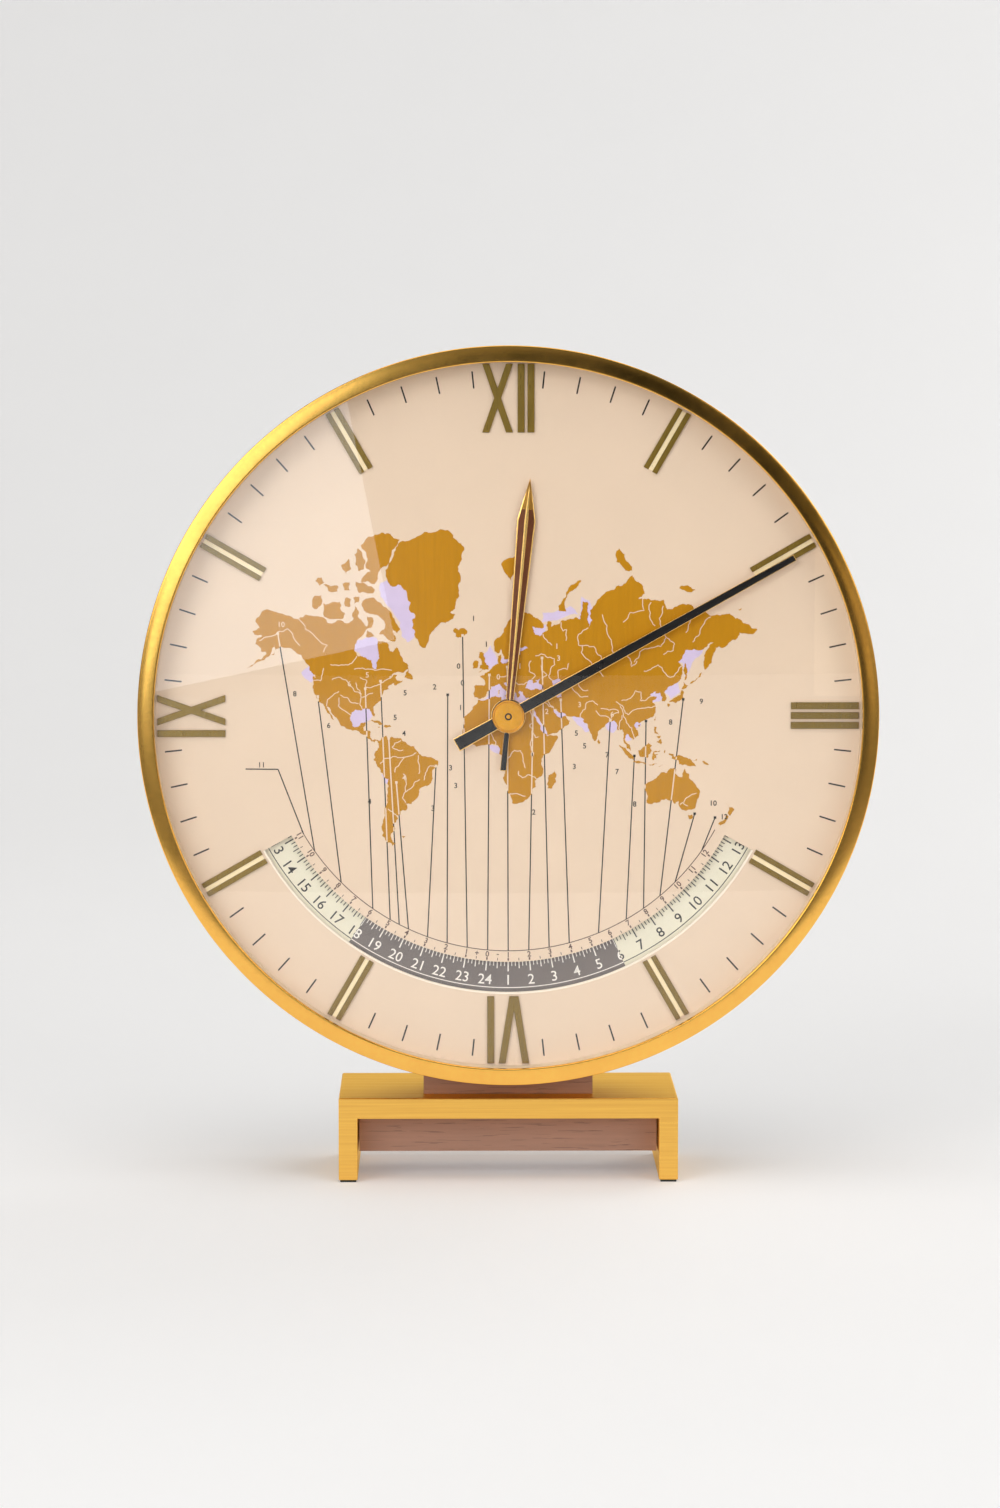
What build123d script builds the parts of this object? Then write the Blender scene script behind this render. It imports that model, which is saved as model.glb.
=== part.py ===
from build123d import *
import math
import os

# World time clock: a round brass case on a bridge stand.
# Millimetres, X to the right, Y to the back, Z up, origin on the floor under the middle.

# Stand
stand_width = 120.0
stand_depth = 60.0
stand_height = 30.0
bridge_thickness = 7.3
leg_thickness = 6.7
edge_break = 0.4
pad_thickness = 0.8
pad_margin = 0.5
rail_depth = 36.0
rail_height = 13.5
rail_end_gap = 0.4
block_width = 60.0
block_depth = 24.0
block_setback = 2.0
block_edge = 0.4
case_lift = 5.0
stand_screw_radius = 2.5
stand_screw_hole_gap = 0.2
screw_head_radius = 4.6
screw_head_height = 3.0
screw_head_gap = 0.4
clamp_nut_size = 9.0
clamp_nut_height = 6.0

# Case, bezel and glass
bezel_radius = 130.0
bezel_depth = 11.0
bezel_face_width = 5.8
bezel_edge = 0.6
lip_thickness = 2.0
lip_gap = 0.3
skirt_wall = 2.0
drum_wall = 1.7
case_depth = 60.0
disc_clearance = 0.1
glass_thickness = 2.0
glass_rise = 3.8
glass_slope_width = 26.2
sight_depth = 6.2
lug_length = 16.0
lug_width = 14.0

# Dial, markers and hour window
dial_thickness = 1.4
dial_centre_hole = 3.2
window_width = 10.8
window_marker_gap = 1.3
window_half_angle = 61.0
marker_length = 24.0
marker_rim_gap = 0.7
marker_thickness = 0.8
baton_width = 1.85
baton_gap = 1.6
numeral_stroke = 2.45
numeral_span = 10.8
numeral_gap = 1.6
numeral_pitch = 3.45
numeral_foot = 0.8

# Hands
hand_thickness = 0.7
hand_gap = 0.9
hour_hand_length = 83.9
hour_hand_tail = 19.4
hour_hand_shoulder = 69.0
hour_hand_half_width = 3.25
hour_hand_root_half_width = 1.35
hour_hand_tail_half_width = 1.15
hour_eye_radius = 6.1
minute_hand_rim_gap = 8.5
minute_hand_tail = 20.9
minute_hand_tip_half_width = 1.15
minute_hand_root_half_width = 2.05
minute_hand_tail_half_width = 2.45
minute_eye_radius = 4.0
cap_radius = 5.7
cap_thickness = 1.3
rest_minute_angle = 61.0
rest_hour_angle = 5.25

# Mounting plate, posts and movement
plate_thickness = 1.5
plate_half_height = 60.0
plate_corner_gap = 6.0
foot_radius = 3.5
foot_gap = 2.0
movement_half_width = 32.0
movement_low = -24.0
movement_high = 45.0
movement_corner = 5.0
movement_base_depth = 6.0
movement_lid_depth = 11.0
post_inset = 5.0
post_radius = 2.8
running_clearance = 0.05
level_gap = 0.5
end_shake = 0.4
idler_arbor_radius = 1.0
idler_arbor_seat = 2.0
minute_arbor_radius = 1.5
pipe_wall = 0.9
bush_wall = 1.0
bush_head_radius = 5.5
bush_head_thickness = 0.4
bush_head_gap = 0.15
stud_radius = 1.1

# Motion work: minute arbor to hour hand and to the world time ring
motion_centres = 12.0
idler_centres = 15.0
cannon_teeth = 8
minute_wheel_teeth = 24
minute_pinion_teeth = 8
hour_wheel_teeth = 32
ring_pinion_teeth = 8
idler_wheel_teeth = 16
idler_pinion_teeth = 8
ring_wheel_teeth = 24
wheel_face = 1.2
pinion_face = 1.8
cannon_face = 2.4
cannon_lead = 0.6
ring_wheel_face = 2.0
minute_wheel_bearing = 0.0
idler_bearing = 180.0

# World time ring behind the dial
ring_thickness = 1.0
ring_dial_gap = 0.7
ring_cover = 3.0

# Battery, tray and contacts
cell_radius = 13.1
cell_length = 48.5
cell_nub_radius = 3.3
cell_nub_length = 1.5
cell_drop = 42.0
cell_cover_gap = 1.0
cell_side_gap = 0.3
tray_wall = 1.5
contact_thickness = 0.5
contact_reach = 2.6
contact_width = 9.0
contact_touch_gap = 0.1

# Back cover, battery door and knob
cover_thickness = 1.5
cover_screw_head_radius = 3.0
cover_screw_head_height = 1.8
opening_fit_gap = 1.0
door_thickness = 1.2
door_overlap = 3.0
door_gap = 0.15
door_rail_wall = 1.4
door_rail_lip = 1.0
door_grip_width = 1.2
door_grip_height = 0.7
door_grips = 3
knob_radius = 9.0
knob_length = 6.9
knob_stand_off = 0.6
knob_flutes = 12
knob_flute_depth = 0.6
knob_stem_radius = 2.6
knob_stem_length = 9.0
knob_hole_gap = 0.6

# One overrun serves every cut
overrun = 1.0

# Shares of the module or of the pitch that shape a tooth
wheel_addendum_share = 0.8
pinion_addendum_share = 0.7
dedendum_share = 1.2
wheel_root_share = 0.60
pinion_root_share = 0.56
tip_share = 0.18

# Radii of the case
drum_radius = bezel_radius - skirt_wall
seat_radius = drum_radius - drum_wall
disc_radius = seat_radius - disc_clearance
sight_radius = bezel_radius - bezel_face_width
glass_flat_radius = disc_radius - glass_slope_width
marker_outer_radius = sight_radius - marker_rim_gap
marker_inner_radius = marker_outer_radius - marker_length
minute_hand_length = marker_outer_radius - minute_hand_rim_gap
window_outer_radius = marker_inner_radius - window_marker_gap
window_inner_radius = window_outer_radius - window_width
ring_radius = window_outer_radius + ring_cover
axis_height = stand_height + case_lift + bezel_radius

# Places along Y, from the bezel's front face to the knob's end
lip_back_from_front = lip_thickness
glass_from_front = lip_thickness + lip_gap
knob_end_from_front = case_depth + knob_stand_off + knob_length
front = (glass_rise - glass_from_front - knob_end_from_front) / 2
bezel_back = front + bezel_depth
lip_back = front + lip_thickness
glass_front = front + glass_from_front
glass_back = glass_front + glass_thickness
dial_front = glass_back + sight_depth
dial_back = dial_front + dial_thickness
cover_back = front + case_depth
drum_back = cover_back - cover_thickness
knob_front = cover_back + knob_stand_off
knob_back = knob_front + knob_length

# Levels of the ring and of the motion work behind the mounting plate
ring_front = dial_back + ring_dial_gap
ring_back = ring_front + ring_thickness
ring_wheel_back = ring_back + ring_wheel_face
mounting_front = ring_wheel_back + end_shake
mounting_back = mounting_front + plate_thickness
ring_pinion_front = mounting_back + end_shake
ring_pinion_back = ring_pinion_front + pinion_face
hour_wheel_front = ring_pinion_back + level_gap
hour_wheel_back = hour_wheel_front + wheel_face
cannon_front = hour_wheel_back + level_gap
cannon_back = cannon_front + cannon_face
minute_wheel_front = cannon_front + cannon_lead
minute_wheel_back = minute_wheel_front + wheel_face
movement_front = cannon_back + end_shake
movement_seam = movement_front + movement_base_depth
movement_back = movement_seam + movement_lid_depth

# Levels of the hands
hour_hand_back = dial_front - marker_thickness - hand_gap
hour_hand_front = hour_hand_back - hand_thickness
minute_hand_back = hour_hand_front - hand_gap
minute_hand_front = minute_hand_back - hand_thickness
cap_front = minute_hand_front - cap_thickness

# Running fits about the clock's axis
pipe_bore = minute_arbor_radius + running_clearance
pipe_radius = pipe_bore + pipe_wall
bush_bore = pipe_radius + running_clearance
bush_radius = bush_bore + bush_wall
ring_bore = bush_radius + running_clearance


def polar(distance, degrees):
    """A point in the clock's face plane, as seen from the front."""
    angle = math.radians(degrees)
    return (distance * math.cos(angle), distance * math.sin(angle))


# Places in the face plane, measured from the clock's centre
centre = (0, 0)
minute_at = polar(motion_centres, minute_wheel_bearing)
idler_at = polar(idler_centres, idler_bearing)
post_xs = (post_inset - movement_half_width, movement_half_width - post_inset)
post_zs = (movement_low + post_inset, movement_high - post_inset)
post_places = [(x, z) for x in post_xs for z in post_zs]
plate_half_width = math.sqrt((seat_radius - plate_corner_gap) ** 2 - plate_half_height**2)
corner_angle = math.degrees(math.atan2(plate_half_height, plate_half_width))
corner_angles = (corner_angle, 180 - corner_angle, 180 + corner_angle, -corner_angle)
foot_places = [polar(ring_radius + foot_gap + foot_radius, angle) for angle in corner_angles]
cell_y = drum_back - cell_cover_gap - cell_radius


def slab(face, front_y, back_y):
    """A face drawn as seen from the front, made solid between two depths."""
    return extrude(Plane.XZ.offset(-back_y) * face, back_y - front_y)


def disc(radius, front_y, back_y, at=centre):
    """A round slab about a place in the face plane."""
    return slab(Pos(*at) * Circle(radius), front_y, back_y)


def turned(points):
    """A ring turned about the clock's axis from (radius, depth) corners."""
    return revolve(make_face(Polyline(*points, close=True)), Axis.Y)


def tube(outer, inner, front_y, back_y):
    """A plain ring between two radii."""
    return turned([(inner, front_y), (outer, front_y), (outer, back_y), (inner, back_y)])


def sector(inner, outer, middle, half_angle):
    """A band of a ring, half an angle to each side of its middle."""
    low, high = middle - half_angle, middle + half_angle
    outer_arc = ThreePointArc(polar(outer, low), polar(outer, middle), polar(outer, high))
    inner_arc = ThreePointArc(polar(inner, high), polar(inner, middle), polar(inner, low))
    sides = [Line(polar(outer, high), polar(inner, high)), Line(polar(inner, low), polar(outer, low))]
    return make_face(Curve() + [outer_arc, sides[0], inner_arc, sides[1]])


def pair_module(distance, first, second):
    """The module that makes two meshing gears fill their centre distance."""
    return 2 * distance / (first + second)


def gear_face(teeth, module, turn, at, addendum_share, root_share):
    """A clock gear's outline, its straight sided teeth narrowing from root to tip."""
    tip = module * (teeth / 2 + addendum_share)
    root = module * (teeth / 2 - dedendum_share)
    flank = [(root, -root_share), (tip, -tip_share), (tip, tip_share), (root, root_share)]
    step = 360 / teeth
    corners = [
        polar(radius, turn + step * (tooth + share / 2))
        for tooth in range(teeth)
        for radius, share in flank
    ]
    return Pos(*at) * make_face(Polyline(*corners, close=True))


def wheel_outline(teeth, module, turn, at):
    """The outline of a wheel, the larger gear of a pair."""
    return gear_face(teeth, module, turn, at, wheel_addendum_share, wheel_root_share)


def pinion_outline(teeth, module, turn, at):
    """The outline of a pinion, the smaller gear of a pair."""
    return gear_face(teeth, module, turn, at, pinion_addendum_share, pinion_root_share)


def meshing_turn(driver_teeth, driver_turn, driven_teeth, bearing):
    """The turn that puts a space of the driven gear where the driver has a tooth."""
    driver_phase = (bearing - driver_turn) * driver_teeth / 360
    return bearing + 180 - (1 / 2 - driver_phase) * 360 / driven_teeth


# Turns of the gears at rest, so that every pair stands in mesh; each driver starts at nought
toward_minute, from_minute = minute_wheel_bearing, minute_wheel_bearing + 180
toward_idler, from_idler = idler_bearing, idler_bearing + 180
minute_wheel_turn = meshing_turn(cannon_teeth, 0, minute_wheel_teeth, toward_minute)
hour_wheel_turn = meshing_turn(minute_pinion_teeth, 0, hour_wheel_teeth, from_minute)
idler_wheel_turn = meshing_turn(ring_pinion_teeth, 0, idler_wheel_teeth, toward_idler)
ring_wheel_turn = meshing_turn(idler_pinion_teeth, 0, ring_wheel_teeth, from_idler)

motion_module = pair_module(motion_centres, cannon_teeth, minute_wheel_teeth)
hour_module = pair_module(motion_centres, minute_pinion_teeth, hour_wheel_teeth)
idler_module = pair_module(idler_centres, ring_pinion_teeth, idler_wheel_teeth)
ring_module = pair_module(idler_centres, idler_pinion_teeth, ring_wheel_teeth)


def stand_bridge():
    """The inverted U of brass, with the stand screw's hole through its top."""
    upright = (Align.CENTER, Align.CENTER, Align.MIN)
    bridge = Box(stand_width, stand_depth, stand_height - pad_thickness, align=upright)
    bridge = chamfer(bridge.edges().group_by(Axis.Z)[-1], edge_break)
    hollow_width = stand_width - 2 * leg_thickness
    hollow_height = stand_height - pad_thickness - bridge_thickness
    hollow = Box(hollow_width, stand_depth + overrun, hollow_height + overrun, align=upright)
    bridge = Pos(0, 0, pad_thickness) * (bridge - Pos(0, 0, -overrun) * hollow)
    return bridge - stand_screw_cut()


def block_middle():
    """The depth of the saddle block's middle, set back from the bezel's skirt."""
    return bezel_back + block_setback + block_depth / 2


def upright_rod(radius, bottom, top):
    """An upright cylinder on the stand screw's line."""
    return Pos(0, block_middle(), (bottom + top) / 2) * Cylinder(radius, top - bottom)


def stand_screw_cut():
    """The clearance hole through everything that the stand screw passes."""
    return upright_rod(stand_screw_radius + stand_screw_hole_gap, -overrun, axis_height - seat_radius + overrun)


def nut_top():
    """The height of the clamp nut's top inside the drum."""
    return axis_height - seat_radius + clamp_nut_height


def rail_underside():
    """The height of the under rail's lower face."""
    return stand_height - bridge_thickness - rail_height


def head_seat():
    """The height of the shoulder in the rail that the stand screw's head pulls on."""
    return rail_underside() + screw_head_gap + screw_head_height


def under_rail():
    """The wooden rail that fills the bridge from leg to leg, with a pocket for the screw head."""
    width = stand_width - 2 * leg_thickness - 2 * rail_end_gap
    rail = Pos(0, 0, rail_underside() + rail_height / 2) * Box(width, rail_depth, rail_height)
    pocket = upright_rod(screw_head_radius + screw_head_gap, -overrun, head_seat())
    return rail - stand_screw_cut() - pocket


def saddle_block():
    """The wooden block that cradles the drum on the bridge."""
    cradle_top = axis_height - math.sqrt(drum_radius**2 - (block_width / 2) ** 2)
    rise = cradle_top - stand_height - block_edge
    block = Pos(0, block_middle(), stand_height + rise / 2) * Box(block_width, block_depth, rise)
    block -= Pos(0, 0, axis_height) * disc(drum_radius, bezel_back, drum_back)
    return block - stand_screw_cut()


def clamp_nut():
    """The nut inside the drum, shaped to its wall, that the stand screw pulls down."""
    nut = Pos(0, block_middle(), nut_top() - clamp_nut_height) * Box(
        clamp_nut_size, clamp_nut_size, 2 * clamp_nut_height
    )
    nut &= Pos(0, 0, axis_height) * disc(seat_radius, bezel_back, drum_back)
    return nut - upright_rod(stand_screw_radius, head_seat(), nut_top() + overrun)


def stand_screw():
    """The hexagon headed screw, sunk in the rail, that rises into the clamp nut."""
    head = extrude(RegularPolygon(screw_head_radius, 6), screw_head_height)
    head = Pos(0, block_middle(), head_seat() - screw_head_height) * head
    return head + upright_rod(stand_screw_radius, head_seat(), nut_top())


def foot_pads():
    """A felt strip under each leg."""
    strip = Box(leg_thickness - 2 * pad_margin, stand_depth - 2 * pad_margin, pad_thickness)
    reach = (stand_width - leg_thickness) / 2
    return [Pos(side * reach, 0, pad_thickness / 2) * strip for side in (-1, 1)]


def lug(angle):
    """A block inside the drum's wall, from the mounting plate to the back cover."""
    outer = seat_radius + drum_wall / 2
    inner = seat_radius - lug_length
    face = Pos((inner + outer) / 2, 0) * Rectangle(outer - inner, lug_width)
    return slab(Rot(0, 0, angle) * face, mounting_back, drum_back)


def case_drum():
    """The drum, with four lugs inside that take the mounting plate and the back cover."""
    drum = tube(drum_radius, seat_radius, lip_back, drum_back)
    for angle in corner_angles:
        drum += lug(angle)
    return drum - Pos(0, 0, -axis_height) * stand_screw_cut()


def bezel_ring():
    """The polished bezel: a crowned face, a lip over the glass and a skirt over the drum."""
    return turned([
        (sight_radius, front + bezel_edge),
        ((sight_radius + bezel_radius) / 2, front),
        (bezel_radius, front + bezel_edge),
        (bezel_radius, bezel_back),
        (drum_radius, bezel_back),
        (drum_radius, lip_back),
        (sight_radius, lip_back),
    ])


def glass():
    """The slightly domed glass, its middle nearly flat."""
    apex = glass_front - glass_rise
    return turned([
        (0, apex),
        (glass_flat_radius, apex),
        (disc_radius, glass_front),
        (disc_radius, glass_back),
        (glass_flat_radius, apex + glass_thickness),
        (0, apex + glass_thickness),
    ])


def sight_ring():
    """The spacer that shows as the dial's upright edge under the glass."""
    return tube(disc_radius, sight_radius, glass_back, dial_front)


def dial_plate():
    """The dial, with its centre hole and the arc window over the world time ring."""
    plate = disc(disc_radius, dial_front, dial_back)
    window = sector(window_inner_radius, window_outer_radius, -90, window_half_angle)
    plate -= slab(window, dial_front - overrun, dial_back + overrun)
    return plate - disc(dial_centre_hole, dial_front - overrun, dial_back + overrun)


def marker(corners, clock_angle):
    """An applied marker drawn upright at twelve, then turned to its hour."""
    face = Rot(0, 0, -clock_angle) * make_face(Polyline(*corners, close=True))
    return slab(face, dial_front - marker_thickness, dial_front)


def stroke(inner_x, outer_x, width):
    """The corners of one straight stroke between the markers' two radii, given its left edges."""
    return [
        (inner_x, marker_inner_radius),
        (inner_x + width, marker_inner_radius),
        (outer_x + width, marker_outer_radius),
        (outer_x, marker_outer_radius),
    ]


def baton_markers():
    """A pair of bars at each hour that has no numeral."""
    left = -baton_gap / 2 - baton_width
    hours = [hour for hour in range(1, 12) if hour % 3]
    return [
        marker(stroke(x, x, baton_width), hour * 30)
        for hour in hours
        for x in (left, baton_gap / 2)
    ]


def cross_strokes(left):
    """The two strokes of an X from its left edge."""
    right = left + numeral_span - numeral_stroke
    return [stroke(left, right, numeral_stroke), stroke(right, left, numeral_stroke)]


def fused(corner_lists, clock_angle):
    """Crossing strokes as one applied piece."""
    pieces = [marker(corners, clock_angle) for corners in corner_lists]
    return pieces[0] + pieces[1]


def upright(left, clock_angle):
    """One I bar from its left edge."""
    return marker(stroke(left, left, numeral_stroke), clock_angle)


def numeral_twelve():
    """XII at the top."""
    left = -(numeral_span + numeral_gap + numeral_pitch + numeral_stroke) / 2
    bar = left + numeral_span + numeral_gap
    return [fused(cross_strokes(left), 0), upright(bar, 0), upright(bar + numeral_pitch, 0)]


def numeral_three():
    """III at the right."""
    left = -(2 * numeral_pitch + numeral_stroke) / 2
    return [upright(left + step * numeral_pitch, 90) for step in range(3)]


def numeral_six():
    """VI at the bottom; the V's legs lean apart from a narrow foot."""
    left = -(numeral_span + numeral_gap + numeral_stroke) / 2
    right = left + numeral_span - numeral_stroke
    foot = (left + right) / 2
    legs = [
        stroke(foot - numeral_foot / 2, left, numeral_stroke),
        stroke(foot + numeral_foot / 2, right, numeral_stroke),
    ]
    return [fused(legs, 180), upright(left + numeral_span + numeral_gap, 180)]


def numeral_nine():
    """IX at the left."""
    left = -(numeral_stroke + numeral_gap + numeral_span) / 2
    return [upright(left, 270), fused(cross_strokes(left + numeral_stroke + numeral_gap), 270)]


def dial_feet():
    """The four posts that hold the dial off the mounting plate."""
    foot = RegularPolygon(foot_radius, 6)
    return [slab(Pos(*place) * foot, dial_back, mounting_front) for place in foot_places]


def mounting_plate():
    """The plate across the drum, with the fixed bush in its middle and the minute wheel's stud."""
    face = Rectangle(2 * plate_half_width, 2 * plate_half_height)
    plate = slab(face, mounting_front, mounting_back)
    head_front = dial_back + bush_head_gap
    plate += disc(bush_head_radius, head_front, head_front + bush_head_thickness)
    plate += disc(bush_radius, head_front, mounting_front)
    plate += disc(stud_radius, mounting_back, movement_front, minute_at)
    plate -= disc(bush_bore, head_front - overrun, mounting_back + overrun)
    hole = idler_arbor_radius + running_clearance
    return plate - disc(hole, mounting_front - overrun, mounting_back + overrun, idler_at)


def movement_posts():
    """The six sided posts between the mounting plate and the movement."""
    post = RegularPolygon(post_radius, 6)
    return [slab(Pos(*place) * post, mounting_back, movement_front) for place in post_places]


def movement_half(front_y, back_y):
    """One half of the movement's closed housing, bored for the minute arbor."""
    width, height = 2 * movement_half_width, movement_high - movement_low
    outline = Pos(0, (movement_high + movement_low) / 2) * Rectangle(width, height)
    half = slab(chamfer(outline.vertices(), movement_corner), front_y, back_y)
    return half - disc(pipe_bore, front_y - overrun, back_y + overrun)


def movement_base():
    """The housing's front half, with a bearing for the idler's arbor."""
    bearing = disc(idler_arbor_radius + running_clearance, movement_front - overrun, movement_seam, idler_at)
    return movement_half(movement_front, movement_seam) - bearing


def movement_lid():
    """The housing's rear half."""
    return movement_half(movement_seam, movement_back)


def minute_arbor():
    """The arbor from the hands right through to the setting knob."""
    return disc(minute_arbor_radius, minute_hand_front, knob_back - knob_length / 2)


def cannon_pinion():
    """The pinion on the minute arbor."""
    face = pinion_outline(cannon_teeth, motion_module, 0, centre)
    return slab(face - Circle(minute_arbor_radius), cannon_front, cannon_back)


def hand(points, eye_radius, bore, clock_angle, front_y, back_y):
    """A flat hand with its eye, drawn upright and turned to its rest angle."""
    blade = Rot(0, 0, -clock_angle) * make_face(Polyline(*points, close=True))
    return slab(blade + Circle(eye_radius) - Circle(bore), front_y, back_y)


def mirrored(right_side):
    """A closed outline from its right half."""
    return right_side + [(-x, y) for x, y in reversed(right_side)]


def minute_hand():
    """The long tapering baton hand."""
    outline = mirrored([
        (minute_hand_tail_half_width, -minute_hand_tail),
        (minute_hand_root_half_width, cap_radius),
        (minute_hand_tip_half_width, minute_hand_length),
    ])
    angle = rest_minute_angle
    return hand(outline, minute_eye_radius, minute_arbor_radius, angle, minute_hand_front, minute_hand_back)


def hour_hand():
    """The lance shaped hour hand with a narrow tail."""
    right = [
        (hour_hand_tail_half_width, -hour_hand_tail),
        (hour_hand_root_half_width, cap_radius),
        (hour_hand_half_width, hour_hand_shoulder),
    ]
    outline = right + [(0, hour_hand_length)] + [(-x, y) for x, y in reversed(right)]
    return hand(outline, hour_eye_radius, pipe_radius, rest_hour_angle, hour_hand_front, hour_hand_back)


def hand_cap():
    """The disc nut that holds the minute hand."""
    return disc(cap_radius, cap_front, minute_hand_front)


def setting_knob():
    """The fluted knob at the back on the end of the minute arbor."""
    pitch = 360 / knob_flutes
    corners = []
    for flute in range(knob_flutes):
        turn = pitch * flute
        corners += [polar(knob_radius, turn - pitch / 4), polar(knob_radius, turn + pitch / 4)]
        corners.append(polar(knob_radius - knob_flute_depth, turn + pitch / 2))
    knob = slab(make_face(Polyline(*corners, close=True)), knob_front, knob_back)
    stem_front = knob_front - knob_stem_length
    knob += disc(knob_stem_radius, stem_front, knob_front)
    return knob - disc(minute_arbor_radius, stem_front - overrun, knob_back - knob_length / 2)


def minute_wheel():
    """The minute wheel and its pinion, one piece running on the stud."""
    wheel = wheel_outline(minute_wheel_teeth, motion_module, minute_wheel_turn, minute_at)
    pinion = pinion_outline(minute_pinion_teeth, hour_module, 0, minute_at)
    both = slab(wheel, minute_wheel_front, minute_wheel_back)
    both += slab(pinion, hour_wheel_front - running_clearance, minute_wheel_front)
    return both - disc(stud_radius + running_clearance, mounting_back, movement_front, minute_at)


def hour_wheel():
    """The hour wheel, riveted on the pipe."""
    face = wheel_outline(hour_wheel_teeth, hour_module, hour_wheel_turn, centre)
    return slab(face - Circle(pipe_radius), hour_wheel_front, hour_wheel_back)


def hour_pipe():
    """The pipe that carries the hour hand, with the pinion that drives the world time ring."""
    face = pinion_outline(ring_pinion_teeth, idler_module, 0, centre)
    pipe = disc(pipe_radius, hour_hand_front, hour_wheel_back) + slab(face, ring_pinion_front, ring_pinion_back)
    return pipe - disc(pipe_bore, hour_hand_front - overrun, hour_wheel_back + overrun)


def idler_wheel():
    """The wheel driven by the hour pipe's pinion."""
    face = wheel_outline(idler_wheel_teeth, idler_module, idler_wheel_turn, idler_at)
    return slab(face - Pos(*idler_at) * Circle(idler_arbor_radius), ring_pinion_front, ring_pinion_back)


def idler_pinion():
    """The idler's arbor and the pinion in front of the mounting plate."""
    front_y = ring_back + level_gap / 2
    face = pinion_outline(idler_pinion_teeth, ring_module, 0, idler_at)
    pinion = slab(face, front_y, ring_wheel_back)
    return pinion + disc(idler_arbor_radius, front_y, movement_front + idler_arbor_seat, idler_at)


def world_ring():
    """The thin disc whose rim is read through the dial's window."""
    return disc(ring_radius, ring_front, ring_back) - disc(ring_bore, ring_front - overrun, ring_back + overrun)


def ring_wheel():
    """The toothed wheel behind the world time ring."""
    face = wheel_outline(ring_wheel_teeth, ring_module, ring_wheel_turn, centre)
    return slab(face - Circle(ring_bore), ring_back, ring_wheel_back)


def along_x(face, length, centre_x):
    """A section drawn across the battery, as (depth, height), made solid along X."""
    return extrude(Plane.YZ.offset(centre_x - length / 2) * face, length)


def cell_section(radius):
    """A circle about the battery's axis."""
    return Pos(cell_y, -cell_drop) * Circle(radius)


def battery_cell():
    """The round cell that lies across the bottom of the case."""
    cell = along_x(cell_section(cell_radius), cell_length, -cell_nub_length / 2)
    return cell + along_x(cell_section(cell_nub_radius), cell_nub_length, cell_length / 2)


def tray_inside():
    """Length, half height and floor depth of the tray's inside."""
    length = cell_length + cell_nub_length + 2 * contact_reach
    return length, cell_radius + cell_side_gap, cell_y - cell_radius - cell_side_gap


def battery_tray():
    """The moulded cradle for the cell, standing on the mounting plate."""
    length, half_height, floor = tray_inside()
    outer_x = length / 2 + tray_wall
    outer_z = half_height + tray_wall
    outline = Pos(0, -cell_drop) * Rectangle(2 * outer_x, 2 * outer_z)
    inside = Pos(0, -cell_drop) * Rectangle(length, 2 * half_height)
    tray = slab(outline, floor - tray_wall, cell_y) - slab(inside, floor, cell_y + overrun)
    foot = Rectangle(cell_radius, 2 * outer_z)
    for side in (-1, 1):
        at = Pos(side * (outer_x - cell_radius / 2), -cell_drop)
        tray += slab(at * foot, mounting_back, floor - tray_wall)
    return tray


def battery_contacts():
    """A bent spring strip at each end of the cell."""
    length, half_height, floor = tray_inside()
    wall_x = length / 2
    touch_x = wall_x - contact_reach + contact_touch_gap
    top = cell_y + contact_reach
    low = floor + contact_reach
    strips = []
    for side in (-1, 1):
        outline = Polyline(
            (side * wall_x, floor),
            (side * wall_x, top),
            (side * touch_x, top),
            (side * touch_x, low),
            (side * (touch_x + contact_thickness), low),
            (side * (touch_x + contact_thickness), top - contact_thickness),
            (side * (wall_x - contact_thickness), top - contact_thickness),
            (side * (wall_x - contact_thickness), floor),
            close=True,
        )
        strip = extrude(make_face(outline), contact_width / 2, both=True)
        strips.append(Pos(0, 0, -cell_drop) * strip)
    return strips


def door_opening():
    """Width and height of the battery opening in the cover."""
    width = cell_length + cell_nub_length + 2 * opening_fit_gap
    return width, 2 * cell_radius + 2 * opening_fit_gap


def back_cover():
    """The flat back cover, with the knob's hole, the battery opening and the door's rails."""
    width, height = door_opening()
    hole = Pos(0, -cell_drop) * Rectangle(width, height)
    cover = slab(Circle(drum_radius) - hole, drum_back, cover_back)
    cover -= disc(knob_stem_radius + knob_hole_gap, drum_back - overrun, cover_back + overrun)
    return cover + door_rail(1) + door_rail(-1)


def door_rail(side):
    """One of the two hooked rails that the battery door slides in."""
    width, height = door_opening()
    length = width + 2 * door_overlap
    inner = height / 2 + door_overlap + door_gap
    lip_front = cover_back + 2 * door_gap + door_thickness
    wall = Pos(0, side * (inner + door_rail_wall / 2) - cell_drop) * Rectangle(length, door_rail_wall)
    lip_height = door_rail_wall + door_gap + door_rail_lip
    lip_middle = inner + door_rail_wall - lip_height / 2
    lip = Pos(0, side * lip_middle - cell_drop) * Rectangle(length, lip_height)
    return slab(wall, cover_back, lip_front) + slab(lip, lip_front, lip_front + door_rail_lip)


def cover_screws():
    """The heads of the screws that hold the cover on the drum's lugs."""
    head = RegularPolygon(cover_screw_head_radius, 6)
    places = [polar(seat_radius - lug_length / 2, angle) for angle in corner_angles]
    return [slab(Pos(*at) * head, cover_back, cover_back + cover_screw_head_height) for at in places]


def battery_door():
    """The sliding door over the battery opening, with grip ridges."""
    width, height = door_opening()
    face = Rectangle(width + 2 * door_overlap, height + 2 * door_overlap)
    door_front = cover_back + door_gap
    door_back = door_front + door_thickness
    door = slab(Pos(0, -cell_drop) * face, door_front, door_back)
    for grip in range(door_grips):
        x = width / 2 - grip * 2 * door_grip_width
        ridge = Pos(x, -cell_drop) * Rectangle(door_grip_width, height / 2)
        door += slab(ridge, door_back, door_back + door_grip_height)
    return door


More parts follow.
